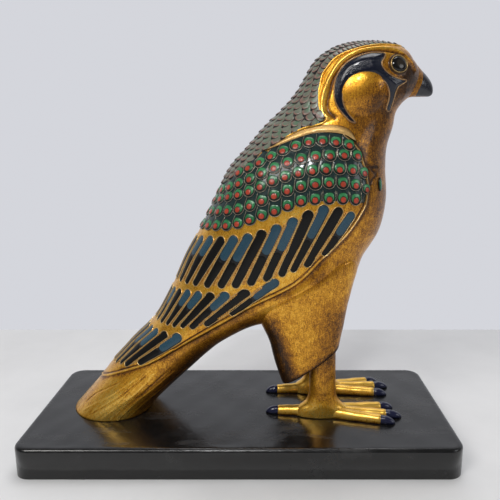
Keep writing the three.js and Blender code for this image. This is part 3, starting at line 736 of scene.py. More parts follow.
def gilding(name, wear=0.0, stops=GOLD_LEAF, depth=0.12, gloss=0.30):
    """Gold paint with a brown antique wash that has stayed in the hollows; the tint brings that wash
    and, on the body and thighs, painted shade, reflection and highlight too
    """
    finish = Finish(name, "gilding")
    clouds = finish.noise(11, 4)
    patches = finish.noise(2.4, 5, 0.65)
    leaf = finish.noise(0.5, 3, 0.65)
    scratches = finish.noise(0.4, 2, 0.5, (1, 1, 0.14))
    pits = (1 - finish.grains(0.75).between(0.16, 0.34)) * clouds.between(0.47, 0.56)
    brown = finish.tint + wear + (clouds - 0.5) * 0.4 + (patches - 0.5) * 0.7
    brown = brown + (leaf - 0.5) * 1.0 + (scratches - 0.5) * 0.5 + pits * 0.35
    brown = brown.clamped()
    relief = finish.bump(leaf * 0.3 + patches * 0.8 - pits * 0.3, depth)
    relief = finish.bump(scratches, 0.05, 0.6, relief)
    return finish.surface(
        base_color=finish.ramp(brown, stops),
        metallic=0.88 - brown * 0.2,
        roughness=gloss + brown * 0.2 + (leaf - 0.5) * 0.3,
        normal=relief,
        coat_weight=0.32,
        coat_roughness=0.14,
        specular_ior_level=0.3,
    )


def enamel(name, stops, shine=0.14, size=2.0, waves=0.05, coat=0.5, mirror=0.35):
    """Glossy paint that changes colour towards the tinted points"""
    finish = Finish(name, "enamel")
    clouds = finish.noise(size, 4, 0.6)
    pores = finish.noise(0.4, 2)
    dark = (finish.tint + 0.1 + (clouds - 0.5) * 0.5).clamped()
    return finish.surface(
        base_color=finish.ramp(dark, stops),
        roughness=shine + (pores - 0.5) * 0.1 + dark * 0.08,
        normal=finish.bump(clouds + pores * 0.4, waves),
        coat_weight=coat,
        specular_ior_level=mirror,
    )


# The gilded body with its wings

BROW = [
    (148, 92.4), (143, 94.0), (136, 95.5), (123.5, 97.05), (102.8, 97.6), (85.2, 97.35), (71, 96.65),
    (60.5, 95.3), (53.6, 92.95), (51.6, 90.1), (54, 87.05), (60, 84.6), (67.5, 82.4), (76, 80.9),
]
BROW_GROOVE = [
    (131, 95.9), (117.2, 96.75), (100, 97.05), (85.8, 96.8), (74.2, 96.0), (64.5, 94.55), (57.8, 92.3),
    (56, 90.05), (58.8, 87.65), (64, 84.95), (72, 82.7), (82, 81.0),
]
MARKING = [
    (103, 96.15), (93, 96.3), (84.8, 96.1), (74.8, 95.35), (66.2, 94.2), (60.8, 92.5), (59.6, 90.5),
    (62.8, 88), (69.5, 85.6), (79.2, 83.35), (89, 81.5), (97, 80.1), (102.5, 79.75), (99.5, 80.45),
    (91.8, 81.85), (84, 83.55), (77, 85.4), (73.4, 87), (73.2, 88.45), (76.2, 89.7), (82, 90.45),
    (89, 90.75), (95.5, 90.6), (102.2, 89.8), (109.8, 88.5), (117.5, 86.85), (125, 85.05),
    (131.8, 83.2), (136.5, 82.7), (139.5, 83.2), (131.5, 85.35), (125.4, 87), (124.4, 88.55),
    (132.5, 89.95), (122, 90.25), (111.2, 90.8), (103, 91.8), (98.6, 93.0), (98.4, 94.1), (102, 95.2),
]
EYE = (119.5, 93.75)
EYE_SIZE = (3.4, 3.1)
CHEEK = (89, 87.3)
CHEEK_RADIUS = 9.3
CHEEK_RISE = 2.0
# Lines carved into the body or raised on it: path, half width, rise and wash, where a wash below zero
# paints the line lighter. Those of the tail run down it
TAIL_LINES = [
    ([(62, 11.2), (50, 8.6), (38, 6.1), (33, 3.4)], 0.5, -0.22, 0.30),
    ([(80, 12.6), (72, 9.5), (64, 6.9), (54, 4.2), (44, 1.6)], 0.45, 0.16, -0.2),
    ([(88, 13.0), (84, 9.5), (80, 6.9), (72, 4.2), (60, 1.2)], 0.5, -0.22, 0.30),
    ([(94, 13.6), (95, 10), (94, 6.7), (90, 3.6), (83, 0.6)], 0.45, 0.2, -0.25),
    ([(106, 13.6), (105, 10), (103, 6.7), (100, 3.6), (96, 0.4)], 0.5, -0.2, 0.28),
    ([(118, 14.2), (114, 9.6), (109, 6.4), (107, 3), (104, 0.2)], 0.42, 0.24, -0.35),
    ([(139, 14.5), (132, 9.6), (126, 6.4), (122, 3), (119, 0.2)], 0.42, 0.24, -0.55),
    ([(160, 8.0), (153, 4), (147, 0.2)], 0.45, -0.3, 0.3),
]
# A zigzag of brown lines in the breast beside each wing
BREAST_LINES = [
    ([(131.5, 69.1), (136.5, 69.05), (142.5, 68.9)], 0.85, -0.3, 0.75),
    ([(133.5, 68.4), (137.5, 67.6), (141.2, 67.05)], 0.7, -0.3, 0.75),
    ([(141.2, 67.05), (136.8, 66.35), (134, 65.75), (132.9, 64.9)], 0.7, -0.3, 0.65),
]
HEAD_LINES = [(BROW, 1.25, 0.85, -0.45), (BROW_GROOVE, 0.95, -0.6, 0.85)]
# Inset from the wing's edge, half width, rise and wash of the lines that follow it
WING_LINES = [(0.8, 0.65, 0.22, -0.2), (1.7, 0.5, -0.3, 0.85)]
WASH_ALL_OVER = 0.20
# Where the body is painted darker or lighter: angle, level, radius, amount. Besides brown wash, the
# darker places on the throat, breast, face and under the tail are painted shade and reflection, and the
# lighter ones on the brow are painted highlight
WASH_AND_SHADE = [
    (115, 81.5, 14, 0.20), (130, 78, 15, 0.20), (143, 71, 16, 0.20), (150, 62, 18, 0.20),
    (142, 54, 15, 0.16), (108, 85.5, 4, 0.18),
    (60, 85, 5, -0.2), (55, 82.5, 5, -0.25), (126, 44, 7, 0.20), (119, 40.5, 4, 0.35),
    (112, 36, 4, 0.25), (150, 40, 16, 0.15), (78, 6, 8, -0.16), (90, 2.5, 8, -0.18), (40, 6, 8, 0.1),
    (60, 11, 7, 0.1), (135, 10, 8, 0.5), (140, 4, 8, 0.5), (135, 16, 9, 0.45), (128, 22, 9, 0.4),
    (122, 28, 7, 0.35), (160, 24, 12, 0.4), (165, 12, 12, 0.4),
    (128, 92, 5, 0.25), (143, 91, 7, 0.42), (138, 87, 6, 0.3), (98, 94.5, 3, 0.15),
    (140, 95.5, 5, 0.28), (106, 93.2, 3, 0.3), (160, 90, 8, 0.3), (125, 84, 8, 0.18),
]
STREAK_STEP = 1.3
BODY_ROWS = 330
SIDE_COLUMNS = 149
WING_COLUMNS = 100
WING_EDGE_ROUND = 0.9
CROWN_X = 33.2


def offset_path(path, out):
    """A path on the body moved sideways by millimetres, positive to its right"""
    p, q = np.array(path, float).T
    return np.column_stack(beside(BODY, p, q, np.broadcast_to(out, len(p))[:, None]))


def wing_edge_path(top=WING_TOP, bottom=WING_END, steps=120):
    levels = np.linspace(top, bottom, steps)
    return np.column_stack([look_up(WING_EDGE, levels), levels])


def body_levels():
    """Levels at equal steps along the skin, so that the crown isn't coarse"""
    fine = np.linspace(99.97, 0, 3000)
    track = np.stack([BODY.at(angle, fine) for angle in (0.01, 90, 179.9)])
    steps = np.linalg.norm(np.diff(track, axis=1), axis=-1).max(0)
    far = np.concatenate([[0], np.cumsum(steps)])
    return np.interp(np.linspace(0, far[-1], BODY_ROWS), far, fine)


def body_angles(levels):
    """Angles of each row's points, with one line of points on the wing's front edge"""
    edge = np.clip(look_up(WING_EDGE, levels), 88, 131)[:, None]
    place = np.arange(1, SIDE_COLUMNS + 1)[None, :]
    inside = place / WING_COLUMNS * edge
    outside = edge + (place - WING_COLUMNS) / (SIDE_COLUMNS + 1 - WING_COLUMNS) * (180 - edge)
    side = np.where(place <= WING_COLUMNS, inside, outside)
    middle = np.zeros((len(levels), 1))
    return np.hstack([-side[:, ::-1], middle, side, middle + 180])


def carve(points, lift, brown, path, half, rise, wash):
    """A rounded ridge or groove along a path in space"""
    near = np.all((points > path.min(0) - half) & (points < path.max(0) + half), -1)
    away = distance_to(points[near], path) / half
    share = np.cos(np.clip(away, 0, 1) * math.pi / 2) ** 2
    lift[near] += rise * share
    brown[near] += wash * share


def wing_share(points, angles, levels, edges):
    """1 on the wing, 0 off it, rounded over at the wing's edge; and the distance to that edge,
    below zero on the wing"""
    away = np.minimum(*[distance_to(points, edge) for edge in edges])
    inside = (np.abs(angles) < look_up(WING_EDGE, levels) - 0.05) & (levels < WING_TOP)
    share = np.sqrt(1 - (1 - np.clip(away / WING_EDGE_ROUND, 0, 1)) ** 2)
    return np.where(inside, share, 0), np.where(inside, -away, away)


def wash_and_shade_at(points):
    """The brown wash over the body's skin, with painted shade, reflection and highlight, apart from its
    carved lines
    """
    brown = np.full(points.shape[:-1], WASH_ALL_OVER)
    for side in SIDES:
        for angle, level, radius, amount in WASH_AND_SHADE:
            near = np.linalg.norm(points - BODY.at(side * angle, level), axis=-1) / radius
            brown += amount * np.exp(-near ** 2)
    return brown


def tail_streaks(angles, levels):
    """Long brushed streaks down the tail"""
    steps = np.arange(0, 181, STREAK_STEP)
    streak = np.interp(np.abs(angles), steps, draws.uniform(-1, 1, len(steps)))
    broad = np.interp(np.abs(angles), steps[::3], draws.uniform(-1, 1, len(steps[::3])))
    return (0.13 * streak + 0.05 * broad) * (1 - smooth(levels, 10, 20))


def gold_relief(points, angles, levels, away):
    """Lift, and brown wash with painted shade, reflection and highlight, at each point of the body"""
    lift = np.zeros(len(points))
    brown = wash_and_shade_at(points) + tail_streaks(angles, levels)
    # Painted shadow: darker within 2.6 mm outside the wing's edge, below level 76
    brown += 0.5 * np.where(away > -0.2, np.clip(1 - away / 2.6, 0, 1), 0) ** 2 * (levels < 76)
    for side in SIDES:
        for path, half, rise, wash in HEAD_LINES + BREAST_LINES + TAIL_LINES:
            curve = spline(path, 5) * (side, 1)
            carve(points, lift, brown, BODY.at(*curve.T), half, rise, wash)
        for inset, half, rise, wash in WING_LINES:
            line = offset_path(on_side(wing_edge_path(62), side), -inset * side)
            carve(points, lift, brown, BODY.at(*line.T), half, rise, wash)
        centre = BODY.at(side * CHEEK[0], CHEEK[1])
        near = np.linalg.norm(points - centre, axis=-1) / CHEEK_RADIUS
        lift += CHEEK_RISE * np.clip(1 - near ** 2, 0, 1) ** 0.8
    return lift, np.clip(brown, 0, 1)


def gilded_body():
    levels = body_levels()
    angles = body_angles(levels)
    rows, columns = angles.shape
    angles = angles.ravel()
    levels = np.repeat(levels, columns)
    skin = BODY.at(angles, levels)
    edges = [BODY.at(*on_side(wing_edge_path(), side).T) for side in SIDES]
    share, away = wing_share(skin, angles, levels, edges)
    lift, brown = gold_relief(skin, angles, levels, away)
    by_thigh = smooth(levels, 14, 24) * (1 - smooth(levels, 43, 50)) * smooth(away, 0.2, 3)
    for thigh in THIGHS:
        lift += by_thigh * blend_rise(thigh, skin, THIGH_BLEND)
    by_beak = smooth(levels, 85, 87.5) * (1 - smooth(levels, 94, 96)) * smooth(np.abs(angles), 120, 150)
    lift += by_beak * blend_rise(BEAK, skin, BEAK_BLEND)
    points = BODY.ring(angles, levels, cover_at(levels) * (1 - share))
    points = points + BODY.normal(angles, levels) * lift[:, None]
    ends = np.array([[CROWN_X * UNIT, 0, 100 * UNIT], points[-columns:].mean(0)])
    shade = np.concatenate([brown, [0.2, 0.5]])
    piece = Piece()
    piece.add(np.vstack([points, ends]), capped_faces(rows, columns), shade)
    body = piece.make("gilded_body", GILDING)
    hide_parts("falcon")


# Cape of scales

CAPE_EDGE = [
    [51.3, 0], [48, 17], [44.5, 27], [41.4, 30], [39.8, 35], [37.6, 41], [35.4, 50], [34.6, 62],
    [33.7, 69], [32.3, 65], [31.5, 56], [29.3, 45], [26.6, 36], [24.9, 33], [22.1, 31],
    [20, 33], [17.5, 34], [14.2, 37], [10.8, 39], [6.3, 36], [2.7, 29], [0, 20], [-1.2, 8],
]
CAPE_END = 50.6
# Small scales on the crown, large ones on the shoulders: width and pitch down the cape
SCALE_WIDTHS = (3.3, 4.1)
SCALE_PITCHES = (1.24, 1.45)
SCALE_LENGTH = 1.75
# Room that a row's last scale takes past its middle, as a share of its width
SCALE_END = 0.47
CORNER = (68.5, 81.6)


def blanket(piece, surface, p, q, lift, sink):
    """A thin closed sheet on the skin over a grid of the surface's coordinates"""
    upper = surface.at(p, q, lift).reshape(-1, 3)
    lower = surface.at(p, q, -sink).reshape(-1, 3)
    sheet(piece, upper, lower, grid_faces(*p.shape), np.zeros(len(upper)))


def cape_reach(run):
    return look_up(CAPE_EDGE, run)


# A black sheet under the cape's scales, which shows in the gaps between them as painted shadow
def cape_ground():
    run = np.linspace(-1.0, CAPE_END, 110)[:, None]
    turn = np.linspace(-1, 1, 61)[None, :] * (cape_reach(run) - 3.0)
    piece = Piece()
    blanket(piece, CAPE, turn, run + 0 * turn, 0.12, 0.5)
    piece.make("cape_ground", BLACK_PAINT_AND_SHADOW)


def scale_rows():
    """Row, run, width and pitch of each row of scales"""
    run = -0.4
    row = 0
    while run < CAPE_END - 0.6:
        large = float(smooth(run, 6, 30))
        pitch = mix(*SCALE_PITCHES, large)
        yield row, run, mix(*SCALE_WIDTHS, large), pitch
        run += pitch
        row += 1


def within_cape(turn, run):
    """The turn, or the nearest one inside the cape's edge"""
    most = cape_reach(run)
    return np.clip(turn, -most, most)


def cape_scales():
    places = []
    for row, run, width, pitch in scale_rows():
        reach = float(cape_reach(run))
        fine = np.linspace(0, max(reach, 1), 60)
        track = CAPE.at(fine, np.full(60, run))
        far = run_along(track)
        start = 0 if row % 2 else 0.5
        room = far[-1] - SCALE_END * width
        count = max(round(room / width - start), 0)
        space = room / (start + count) if count else width
        for k in range(count + 1):
            turn = float(np.interp((start + k) * space, far, fine))
            places += [(side * turn, run, space, pitch) for side in sides_of(turn)]
    turn, run, width, pitch = np.array(places).T
    shape = scale_shape()
    _, along = metric(CAPE, turn, run)
    jitter = draws.uniform(-1, 1, (len(turn), 3))
    size = np.column_stack([width * (0.5 + 0.015 * jitter[:, 0]),
                            pitch * UNIT * (1 + 0.05 * jitter[:, 1]), np.ones(len(turn))])
    piece = Piece()
    stamp(piece, CAPE, shape, turn, run, unit(along), size, 0.12 * jitter[:, 2], within_cape)
    piece.make("cape_scales", CAPE_GREEN)


def scale_shape():
    """One scale, one unit wide each way: a dome over a black flange, rounded at its lower end. The
    flange's black is a painted shadow under the scale's edge
    """
    outline = tile_outline(0.98, -SCALE_LENGTH, 0.0, 1.12, 9)

    def lift(across, along):
        rise = 0.10 + 0.52 * smooth(along, -0.5, 0.75)
        return rise - 0.20 * across ** 2

    rings = [(1.0, -0.6, 1.0), (1.0, -0.40, 1.0), (0.87, -0.36, 1.0), (0.86, -0.02, 0.85),
             (0.82, 0.08, 0.42), (0.66, 0.13, 0.22), (0.36, 0.15, 0.0)]
    shape = domed(outline, rings, (0, -0.9), lift)
    tip = smooth(shape.points[:, 1], 0.2, 0.7)
    shape.tints = np.maximum(shape.tints, 0.48 * tip)
    return shape


def cape_rim():
    """A thin gold line along the cape's edge, from shoulder to shoulder over the brow"""
    half = [(turn, run) for run, turn in CAPE_EDGE if run < 38]
    line = spline(half + [(-turn, run) for turn, run in half[::-1]], 5)
    piece = Piece()
    ribbon(piece, CAPE, line, 0.4, round_profile(0.48, 0.6), tint=0.1)
    piece.make("cape_rim", GILDING)


def corner_scales():
    """The round scale at the corner of the cape on each side"""
    base = domed(oval(2.3, 2.1, 24), [(1.0, -0.5, 1), (1.0, 0.42, 1), (0.8, 0.46, 1)])
    rings = [(1.0, 0.2, 1), (1.0, 0.5, 0.6), (0.9, 0.62, 0.35), (0.7, 0.68, 0.12), (0.4, 0.7, 0)]
    scale = domed(oval(2.0, 1.85, 24), rings)
    scale.tints = np.maximum(scale.tints, 0.52 * smooth(scale.points[:, 1], -0.2, 0.9))
    stamp_sides("corner_hollows", BLACK_PAINT_AND_SHADOW, base, CORNER)
    stamp_sides("corner_scales", CAPE_GREEN, scale, CORNER)


# Coverts: rows of scales, each with a drop and a dot

COVERT_ROWS = 5
COVERT_WIDTH = 5.35
# Angle of the foremost drop of each row
COVERT_LAST = [105.5, 115.8, 124.5, 127.5, 118.2]
# Level of each row at these angles
COVERT_ANGLES = [0, 20, 36, 46, 54, 61, 68, 76, 84, 94, 104, 115, 127, 140]
COVERT_LEVELS = [
    [65.6, 66.4, 68.2, 70.2, 72.2, 73.6, 74.6, 75.4, 75.55, 75.3, 74.75, 73.9, 72.6, 71],
    [62.4, 63.2, 64.9, 66.4, 68.0, 69.3, 70.5, 71.5, 71.95, 72.15, 72.3, 72.15, 71.6, 70.8],
    [60.0, 60.7, 62.0, 62.9, 64.3, 65.8, 66.9, 68.0, 68.6, 69.0, 69.0, 68.7, 67.8, 66.6],
    [57.0, 57.4, 58.1, 58.9, 60.0, 61.5, 62.9, 64.3, 65.3, 65.75, 65.75, 65.4, 64.1, 62],
    [53.5, 53.8, 54.3, 54.8, 55.9, 57.3, 58.6, 60.2, 61.6, 62.05, 62.05, 61.8, 61.2, 60.5],
]
TILE_TOP = -5.0
TILE_TIP = 2.85
WIRE_INSET = 0.16
WIRE_HALF = 0.105
GROUND_INSET = 1.3


def covert_level(row, angle):
    return np.interp(np.abs(angle), COVERT_ANGLES, COVERT_LEVELS[row])


def under_cape(angle, level):
    """Whether a place on the wing lies under the cape"""
    points = BODY.at(angle, level)
    back, front, _, widest, _, _ = BODY.section(level)
    middle = mix(back, front, widest) * UNIT
    turn = np.degrees(np.arctan2(np.abs(points[..., 1]), middle - points[..., 0]))
    run = Cape.HEAD_LEVEL + Cape.CROWN_RUN - level
    return (turn < cape_reach(run) - 1.0) & (run < CAPE_END)


def covert_places():
    """Angle and level of every drop"""
    places = []
    for row in range(COVERT_ROWS):
        fine = np.linspace(0, COVERT_LAST[row], 200)
        track = BODY.at(fine, covert_level(row, fine))
        far = run_along(track)
        start = 0 if row % 2 == 0 else COVERT_WIDTH / 2
        count = round((far[-1] - start) / COVERT_WIDTH)
        for k in range(count + 1):
            angle = float(np.interp(start + (far[-1] - start) * k / count, far, fine))
            for side in sides_of(angle):
                level = float(covert_level(row, angle))
                if not under_cape(np.array(side * angle), np.array(level)):
                    places.append((side * angle, level))
    return np.array(places).T


def feather_heading(angle, level):
    """Down the body at the back, straight down towards the front"""
    _, up = metric(BODY, angle, level)
    share = 0.85 * smooth(np.abs(angle), 35, 88)[:, None]
    return unit(unit(-up) * (1 - share) + np.array([0, 0, -1.0]) * share)


def tile_lift(across, along):
    return 0.06 + 0.46 * smooth(along, TILE_TOP, TILE_TIP - 0.5) - 0.012 * across ** 2


def covert_tile():
    outline = tile_outline(COVERT_WIDTH / 2 - 0.03, TILE_TOP, 0.2, TILE_TIP)
    rings = [(1.0, -0.7, 0.6), (1.0, -0.06, 0.3), (0.95, 0.0, 0.1), (0.7, 0.02, 0), (0.35, 0.02, 0)]
    return domed(outline, rings, (0, -0.9), tile_lift)


def fan_outline(half_width, top, bottom, count=24):
    """Outline of a painted drop: flat and broad above, rounded below"""
    turn = 2 * math.pi * np.arange(count) / count
    across = np.cos(turn)
    along = np.sin(turn)
    power = np.where(along < 0, 0.74, 1.04)
    reach = np.where(along < 0, -top, bottom)
    return np.column_stack([half_width * np.sign(across) * np.abs(across) ** power,
                            reach * np.sign(along) * np.abs(along) ** power])


def drop_shape(outline, height, middle=0, rim=0.0):
    """A drop of thick paint, whose rings draw in to a place on its middle line"""
    rings = [(1.0, -0.3, 1), (1.0, rim + 0.04, 0.6), (0.93, rim + 0.55 * height, 0.25),
             (0.78, rim + 0.82 * height, 0.05), (0.45, rim + height, 0)]
    return domed(outline, rings, (0, middle), tile_lift)


def within_wing(angle, level):
    """The angle, or the nearest one inside the wing's front edge"""
    most = look_up(WING_EDGE, level) - 3.2
    return np.clip(angle, -most, most)


def covert_wire():
    """The wire round a tile's sides and lower end"""
    reach = COVERT_WIDTH / 2 - WIRE_INSET
    turn = math.pi * np.arange(15) / 14
    end = np.column_stack([-reach * np.cos(turn), 0.2 + (TILE_TIP - 0.36) * np.sin(turn)])
    path = np.vstack([[[-reach, -2.6], [-reach, -1.2]], end, [[reach, -1.2], [reach, -2.6]]])
    along = unit(np.gradient(path, axis=0))
    across = np.column_stack([along[:, 1], -along[:, 0]])
    points = []
    for share, up in round_profile(0.14, 0.2, 4):
        spot = path + across * share * WIRE_HALF
        points.append(np.column_stack([spot, tile_lift(*spot.T) + up]))
    faces = bar_faces(len(path), len(points))
    points = np.stack(points, 1).reshape(-1, 3)
    return Shape(points, faces, np.zeros(len(points)))


def coverts():
    angle, level = covert_places()
    heading = feather_heading(angle, level)
    jitter = draws.uniform(-1, 1, (len(angle), 4))
    size = np.column_stack([1 + 0.03 * jitter[:, 0], 1 + 0.03 * jitter[:, 1], np.ones(len(angle))])
    edge = look_up(WING_EDGE, level) - np.abs(angle)
    size[:, :2] *= np.clip(0.55 + edge / 12, 0.75, 1)[:, None]
    tilt = heading + 0.06 * jitter[:, 2:3] * np.array([1, 0, 0])
    ring = tile_outline(COVERT_WIDTH / 2 - WIRE_INSET - 0.14, -1.1, 0.2, TILE_TIP - 0.3)
    drop = fan_outline(2.02, -1.85, 1.95)
    collar = oval(1.38, 1.34, 18) + [0, 0.74]
    dot = oval(1.1, 1.1, 18) + [0, 0.8]
    # Layers from the tile upwards: name, finish, shape, heading, tint and limit
    layers = [
        ("covert_tiles", TEAL_BLACK, covert_tile(), heading, 0.1 * jitter[:, 3], within_wing),
        ("covert_wires", DIM_WIRE, covert_wire(), heading, None, within_wing),
        ("covert_rings", BLACK_PAINT_AND_SHADOW, drop_shape(ring, 0.04), heading, None, within_wing),
        ("covert_drops", LEAF_GREEN, drop_shape(drop, 0.2, 0.1, 0.06), tilt, 0.15 * jitter[:, 0], None),
        ("covert_collars", DARK_OLIVE, drop_shape(collar, 0.04, 0.74, 0.24), tilt, None, None),
        ("covert_dots", BRICK_RED, drop_shape(dot, 0.12, 0.8, 0.28), tilt, 0.15 * jitter[:, 1], None),
    ]
    for name, finish, shape, turn, tint, limit in layers:
        piece = Piece()
        stamp(piece, BODY, shape, angle, level, turn, size, tint, limit)
        piece.make(name, finish)


def covert_ground():
    """Dark ground behind the coverts, up to the wing's front edge"""
    front = offset_path(wing_edge_path(77.0, 60.6, 50), -GROUND_INSET)
    lower_angle = np.linspace(front[-1, 0] - 2, 0, 60)
    lower = np.column_stack([lower_angle, covert_level(4, lower_angle) - 0.9])
    upper_angle = np.linspace(0, front[0, 0] - 1, 60)
    upper = np.column_stack([upper_angle, covert_level(0, upper_angle) + 2.6])
    upper[:, 1] = np.minimum(upper[:, 1], 78.2)
    half = np.vstack([front, lower])
    outline = np.vstack([half, on_side(half[::-1][1:], -1), on_side(upper[::-1], -1), upper[1:]])
    piece = Piece()
    plaque(piece, BODY, outline, (0.45, UNIT), 1.5, lambda away, p, q: 0.1 + 0 * away, 0.5)
    piece.make("covert_ground", TEAL_BLACK)


# Flight feathers: inlaid cells between gold ridges

# Top angle and level, lower angle and level, level where blue gives way to black
# (None where the cell is black throughout)
TIERS = [
    [
        (118.5, 58.3, 110.8, 47.3, 52.5), (108, 59.6, 104.5, 44.4, None), (98, 60.2, 98, 43.1, 51.8),
        (90, 59.0, 93, 41.9, None), (83, 57.2, 86.5, 40.6, 48.6), (75.5, 55.4, 79, 39.4, 47.6),
        (68.5, 53.9, 71, 38.6, None), (61.5, 52.8, 62, 38.3, 45.5), (53, 52.0, 52, 38.1, 45.5),
        (44, 51.4, 41.5, 38.1, None), (34, 51.2, 32, 38.1, 45.8), (23, 50.8, 22, 38.1, 45.6),
        (11.5, 50.4, 11, 38.1, None), (0, 50.2, 0, 38.1, 45.4),
    ],
    [
        (93, 41.0, 92, 31.4, 36.0), (82, 38.0, 82, 28.4, None), (71, 37.2, 73, 27.3, 32.6),
        (61.5, 36.8, 63.5, 27.2, None), (51.5, 36.8, 54.5, 27.0, 32.2),
        (40.5, 36.8, 45, 27.0, 32.4), (30, 36.5, 34, 27.0, None), (20, 36.4, 22.5, 27.0, 31.8),
        (10, 36.3, 11, 27.0, None), (0, 36.2, 0, 27.0, 31.8),
    ],
    [
        (74, 25.2, 62.5, 16.6, 20.9), (57, 25.2, 47, 15.2, None), (41, 25.4, 36, 15.0, 20.8),
        (27, 25.5, 24, 14.4, 20.6), (13.5, 25.5, 12, 14.0, None), (0, 25.5, 0, 13.8, 20.2),
    ],
]
CELL_SHARE = 0.70
CELL_MOST = 2.15
CELL_TAPER = 0.25
CELL_BORDER = 0.28
# Shares of a cell at which its paint starts and ends
CELL_START = 0.012
CELL_END = 0.985
RIDGE_GAP = 0.42
ROPE_PITCH = 0.95
ROPE_STEP = 0.23


def cell_path(cell, steps=60):
    """Path down a cell, straight when it is seen from the side"""
    share = np.linspace(0, 1, steps)
    angle = mix(cell[0], cell[2], share)
    level = mix(cell[1], cell[3], share)
    ends = BODY.at(angle[[0, -1]], level[[0, -1]])[:, 0]
    fine = np.arange(0, 181.0)
    straight = [np.interp(x, BODY.at(fine, np.full(181, at))[:, 0], fine)
                for x, at in zip(mix(ends[0], ends[1], share), level)]
    straight = np.sign(cell[0]) * np.array(straight)
    angle = mix(angle, straight, smooth(np.abs(angle), 25, 55))
    return np.column_stack([angle, level])


def tier_cells(tier):
    """Paths and half widths of a tier's cells on both sides, in order round the body"""
    cells = sorted((side * top, high, side * end, low, split)
                   for top, high, end, low, split in tier for side in sides_of(top))
    paths = [cell_path(cell) for cell in cells]
    tracks = [BODY.at(*path.T) for path in paths]
    widths = []
    for i in range(len(cells)):
        gaps = [np.linalg.norm(tracks[i] - tracks[j], axis=-1)
                for j in (i - 1, i + 1) if 0 <= j < len(cells)]
        taper = 1 - CELL_TAPER * smooth(np.linspace(0, 1, len(gaps[0])), 0.25, 1)
        widths.append(np.minimum(CELL_SHARE / 2 * np.mean(gaps, 0), CELL_MOST) * taper)
    return cells, paths, tracks, widths


def rounded_run(track, widths, start, end, inset):
    """Shares of a path between two shares, half widths and how far the rounded ends have opened"""
    far = run_along(track)
    count = len(track)
    shares = np.linspace(0, 1, count)
    low = np.interp(start, shares, far)
    high = np.interp(end, shares, far)
    half_low = np.interp(start, shares, widths) - inset
    half_high = np.interp(end, shares, widths) - inset
    turn = np.radians(np.linspace(4, 90, 7))
    run = np.concatenate([low + half_low * (1 - np.cos(turn)),
                          np.linspace(low + half_low, high - half_high, 14)[1:-1],
                          high - half_high * (1 - np.cos(turn[::-1]))])
    share = np.interp(run, far, shares)
    half = np.interp(share, shares, widths) - inset
    near_low = np.clip((run - low) / half_low, 0, 1)
    near_high = np.clip((high - run) / half_high, 0, 1)
    closing = np.sqrt(1 - (1 - np.minimum(near_low, near_high)) ** 2)
    return share, half * closing, closing


def along_path(path, share):
    """Coordinates at shares of a path"""
    shares = np.linspace(0, 1, len(path))
    return np.column_stack([np.interp(share, shares, path[:, k]) for k in (0, 1)])


def inlay(piece, path, track, widths, start, end, inset, profile, tint=0.0):
    """Paint laid in a cell from one share of its length to another"""
    share, half, closing = rounded_run(track, widths, start, end, inset)
    ribbon(piece, BODY, along_path(path, share), half, profile, scale=0.25 + 0.75 * closing,
           tint=tint)


def cell_rim(piece, path, track, widths):
    """A gold wire all the way round a cell"""
    share, half, _ = rounded_run(track, widths, 0, 1, -0.12)
    centre = along_path(path, share)
    right = offset_path(centre, half)
    left = offset_path(centre, -half)
    outline = np.vstack([left, right[::-1]])
    ribbon(piece, BODY, outline, 0.17, round_profile(0.34, 0.2, 4), closed=True)


def feather_cells():
    black, blue, charcoal, rims = Piece(), Piece(), Piece(), Piece()
    base = pillow_profile(0.13, 0.16, 0.3, 4)
    paint = pillow_profile(0.18, 0.30, 0.2)
    for tier in TIERS:
        cells, paths, tracks, widths = tier_cells(tier)
        for cell, path, track, width in zip(cells, paths, tracks, widths):
            split = 0.0
            if cell[4] is not None:
                split = (cell[1] - cell[4]) / (cell[1] - cell[3])
            inlay(black, path, track, width, 0, 1, 0, base)
            shade = float(draws.uniform(0, 0.25))
            if split > 0:
                inlay(blue, path, track, width, CELL_START, split * CELL_END, CELL_BORDER, paint,
                      shade)
            inlay(charcoal, path, track, width, split + 0.015 * (split > 0), CELL_END, CELL_BORDER,
                  paint, shade)
            cell_rim(rims, path, track, width)
    black.make("feather_edges", BLACK_PAINT_AND_SHADOW)
    blue.make("feather_blues", SLATE_BLUE)
    charcoal.make("feather_blacks", CHARCOAL)
    rims.make("feather_rims", PALE_GOLD)


def rope_ridge(piece, path, half):
    """A gold ridge with slanting cuts, like a twisted cord"""
    far = run_along(BODY.at(*path.T))
    count = max(int(far[-1] / ROPE_STEP), 8)
    run = np.linspace(0, far[-1], count)
    p, q = [np.interp(run, far, path[:, k]) for k in (0, 1)]
    half = np.interp(run, far, half)
    half = half * np.sqrt(np.clip(np.minimum(run, far[-1] - run) / 0.8, 0.02, 1))
    # The first and the last share come twice, on the skin and under it
    share = np.array([-1, -1, -0.75, -0.4, 0, 0.4, 0.75, 1, 1])
    offset = half[:, None] * share
    twist = 0.5 + 0.5 * np.cos(2 * math.pi * (run[:, None] + 1.1 * offset) / ROPE_PITCH)
    cut = twist ** 2 * (1 - share ** 4)
    lift = 0.3 * np.sqrt(1 - share ** 2 * 0.98) - 0.17 * cut
    lift[:, [0, -1]] = -0.2
    points = BODY.at(*beside(BODY, p, q, offset), lift)
    piece.add(points, bar_faces(count, len(share)), 0.06 + 0.8 * cut)


def feather_ridges():
    piece = Piece()
    for tier in TIERS:
        cells, paths, tracks, widths = tier_cells(tier)
        for i in range(len(cells) - 1):
            path = (paths[i] + paths[i + 1]) / 2
            gap = np.linalg.norm(tracks[i] - tracks[i + 1], axis=-1)
            room = (gap - widths[i] - widths[i + 1]) / 2 - RIDGE_GAP
            keep = slice(2, -2)
            rope_ridge(piece, path[keep], np.clip(room[keep], 0.3, 0.85))
    piece.make("feather_ridges", ROPE_GOLD)


